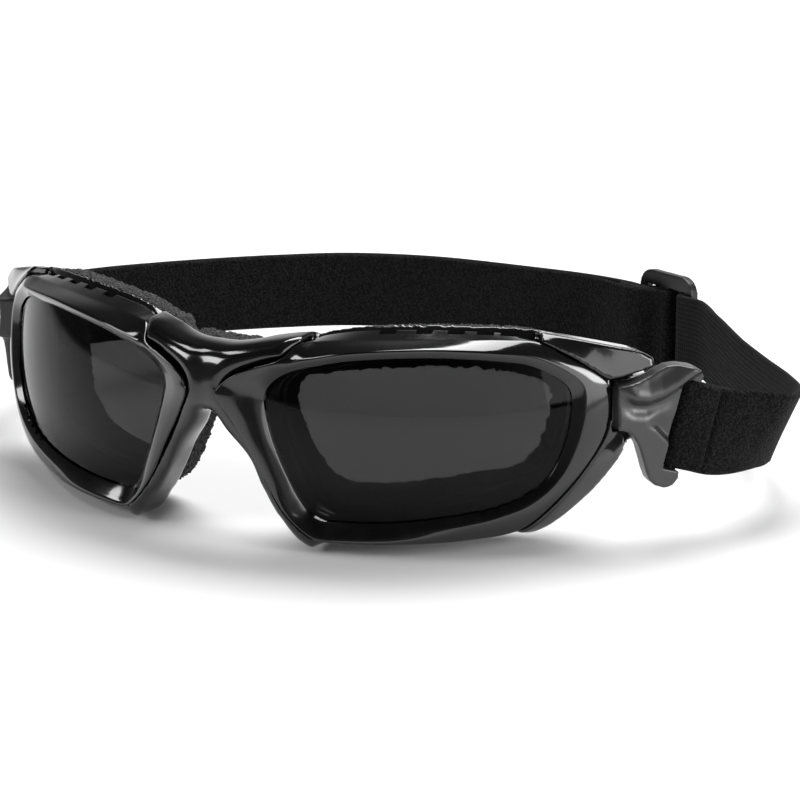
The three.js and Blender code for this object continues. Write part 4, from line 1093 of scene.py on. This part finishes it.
# Each piece of the strap: its rows; two bodies and two rows listed for it but not used, since each piece
# stays where it is made and follows no body; the node it stands for; and its seams.
STRAP_PIECES = [
    ("strap_single_front", (0, SINGLE_SPLIT), ("clip_left", "frame"), (8, 12),
     ["strap_single_run"], [LEFT_SEAM]),
    ("strap_single_back", (SINGLE_SPLIT, SLIDER_SPLIT), ("frame", "slider"), (SINGLE_SPLIT, 18),
     [], []),
    ("strap_outer_back", (SLIDER_SPLIT, OUTER_SPLIT), ("frame", "slider"), (OUTER_SPLIT - 1, SLIDER_SPLIT),
     ["strap_outer_layer"], []),
    ("strap_double_front", (OUTER_SPLIT, INNER_SPLIT), ("clip_right", "frame"),
     (OUTER_SPLIT + 6, OUTER_SPLIT + 2), [], []),
    ("strap_inner_back", (INNER_SPLIT, BAND_END), ("frame", "slider"), (INNER_SPLIT + 1, BAND_END - 14),
     ["strap_inner_layer"], [SLIDER_SEAM]),
]
for name, (first, last), bodies, (start, end), nodes, seams in STRAP_PIECES:
    piece, length = strap(name, first, last, seams)
    finish_piece(piece, WEBBING, None, nodes)
    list(bodies)
    row_point(start)
    row_point(end)
    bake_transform(piece)


# ---- stage, light and camera -------------------------------------------------
def stage_material():
    look = Look("pale_floor", (0.86, 0.86, 0.86), 0.85, Specular_IOR_Level=0.1)
    look.feed("Roughness", look.spread(look.grain(6, 2), 0.8, 0.9))
    return look.material


floor = bpy.data.objects.new("floor", bpy.data.meshes.new("floor"))
floor.data.from_pydata([(-4, -2, 0), (4, -2, 0), (4, 6, 0), (-4, 6, 0)], [], [(0, 1, 2, 3)])
floor.data.materials.append(stage_material())
bpy.context.scene.collection.objects.link(floor)


def area_light(name, place, target, size, power):
    """A rectangular lamp of so many metres and watts, turned to face its target."""
    lamp = bpy.data.lights.new(name, "AREA")
    lamp.shape = "RECTANGLE"
    lamp.size, lamp.size_y = size
    lamp.energy = power
    obj = bpy.data.objects.new(name, lamp)
    obj.location = place
    obj.rotation_euler = (Vector(place) - Vector(target)).to_track_quat("Z", "Y").to_euler()
    bpy.context.scene.collection.objects.link(obj)


area_light("overhead_softbox", (0.0, 0.45, 0.9), (0.0, 0.0, 0.0), (0.9, 0.5), 14)
area_light("front_softbox", (-0.75, -0.7, 0.55), (0.0, 0.0, 0.02), (0.4, 0.3), 4)
area_light("side_softbox", (0.95, -0.1, 0.4), (0.03, 0.0, 0.02), (0.25, 0.4), 4)
area_light("right_panel", (1.08, -0.32, 0.3), (0.03, -0.02, 0.02), (0.7, 0.55), 3.0)
area_light("high_strip", (-0.52, -0.26, 0.82), (0.0, -0.04, 0.02), (0.3, 0.12), 1.0)


def studio_world():
    """A pale backdrop low behind the goggles, darker towards the ceiling and behind the camera."""
    world = bpy.data.worlds.new("studio")
    world.use_nodes = True
    tree = world.node_tree

    def node(kind, values, **settings):
        made = tree.nodes.new(kind)
        for key, value in settings.items():
            setattr(made, key, value)
        for key, value in values.items():
            if isinstance(value, bpy.types.NodeSocket):
                tree.links.new(value, made.inputs[key])
            else:
                made.inputs[key].default_value = value
        return made.outputs

    def fade(value, start, end, low):
        """1 up to start, then down to low at end."""
        spread = {"Value": value, "From Min": start, "From Max": end, "To Min": 1.0, "To Max": low}
        return node("ShaderNodeMapRange", spread, interpolation_type="SMOOTHSTEP")["Result"]

    way = node("ShaderNodeTexCoord", {})["Generated"]
    rise = node("ShaderNodeSeparateXYZ", {0: way})["Z"]
    ahead = node("ShaderNodeVectorMath", {0: way, 1: (-0.6, -0.8, 0.0)}, operation="DOT_PRODUCT")["Value"]
    ceiling = fade(rise, 0.1, 0.6, 0.06)
    room = fade(ahead, -0.5, 0.5, 0.12)
    strength = node("ShaderNodeMath", {0: ceiling, 1: room}, operation="MULTIPLY")[0]
    tree.links.new(strength, tree.nodes["Background"].inputs["Strength"])
    tree.nodes["Background"].inputs["Color"].default_value = (0.95, 0.95, 0.95, 1)
    bpy.context.scene.world = world


studio_world()

CAMERA_TARGET = np.array([41.042, 10.5, 26.505])
CAMERA_AZIMUTH, CAMERA_ELEVATION = math.radians(32.1434), math.radians(13.6887)
CAMERA_DISTANCE = 593.7
back = np.array([
    math.sin(CAMERA_AZIMUTH) * math.cos(CAMERA_ELEVATION),
    -math.cos(CAMERA_AZIMUTH) * math.cos(CAMERA_ELEVATION),
    math.sin(CAMERA_ELEVATION),
])
right = np.array([math.cos(CAMERA_AZIMUTH), math.sin(CAMERA_AZIMUTH), 0.0])
camera = bpy.data.objects.new("camera", bpy.data.cameras.new("camera"))
camera.data.sensor_width = 36
camera.data.lens = 136.06
camera.data.clip_start = 0.01
axes = (TIP @ np.stack([right, np.cross(back, right), back], axis=1)).tolist()
stand = to_row(CAMERA_TARGET + back * CAMERA_DISTANCE)
camera.matrix_world = Matrix.Translation(stand) @ Matrix(axes).to_4x4()
bpy.context.scene.collection.objects.link(camera)
bpy.context.scene.camera = camera
bpy.context.scene.view_settings.view_transform = "Standard"
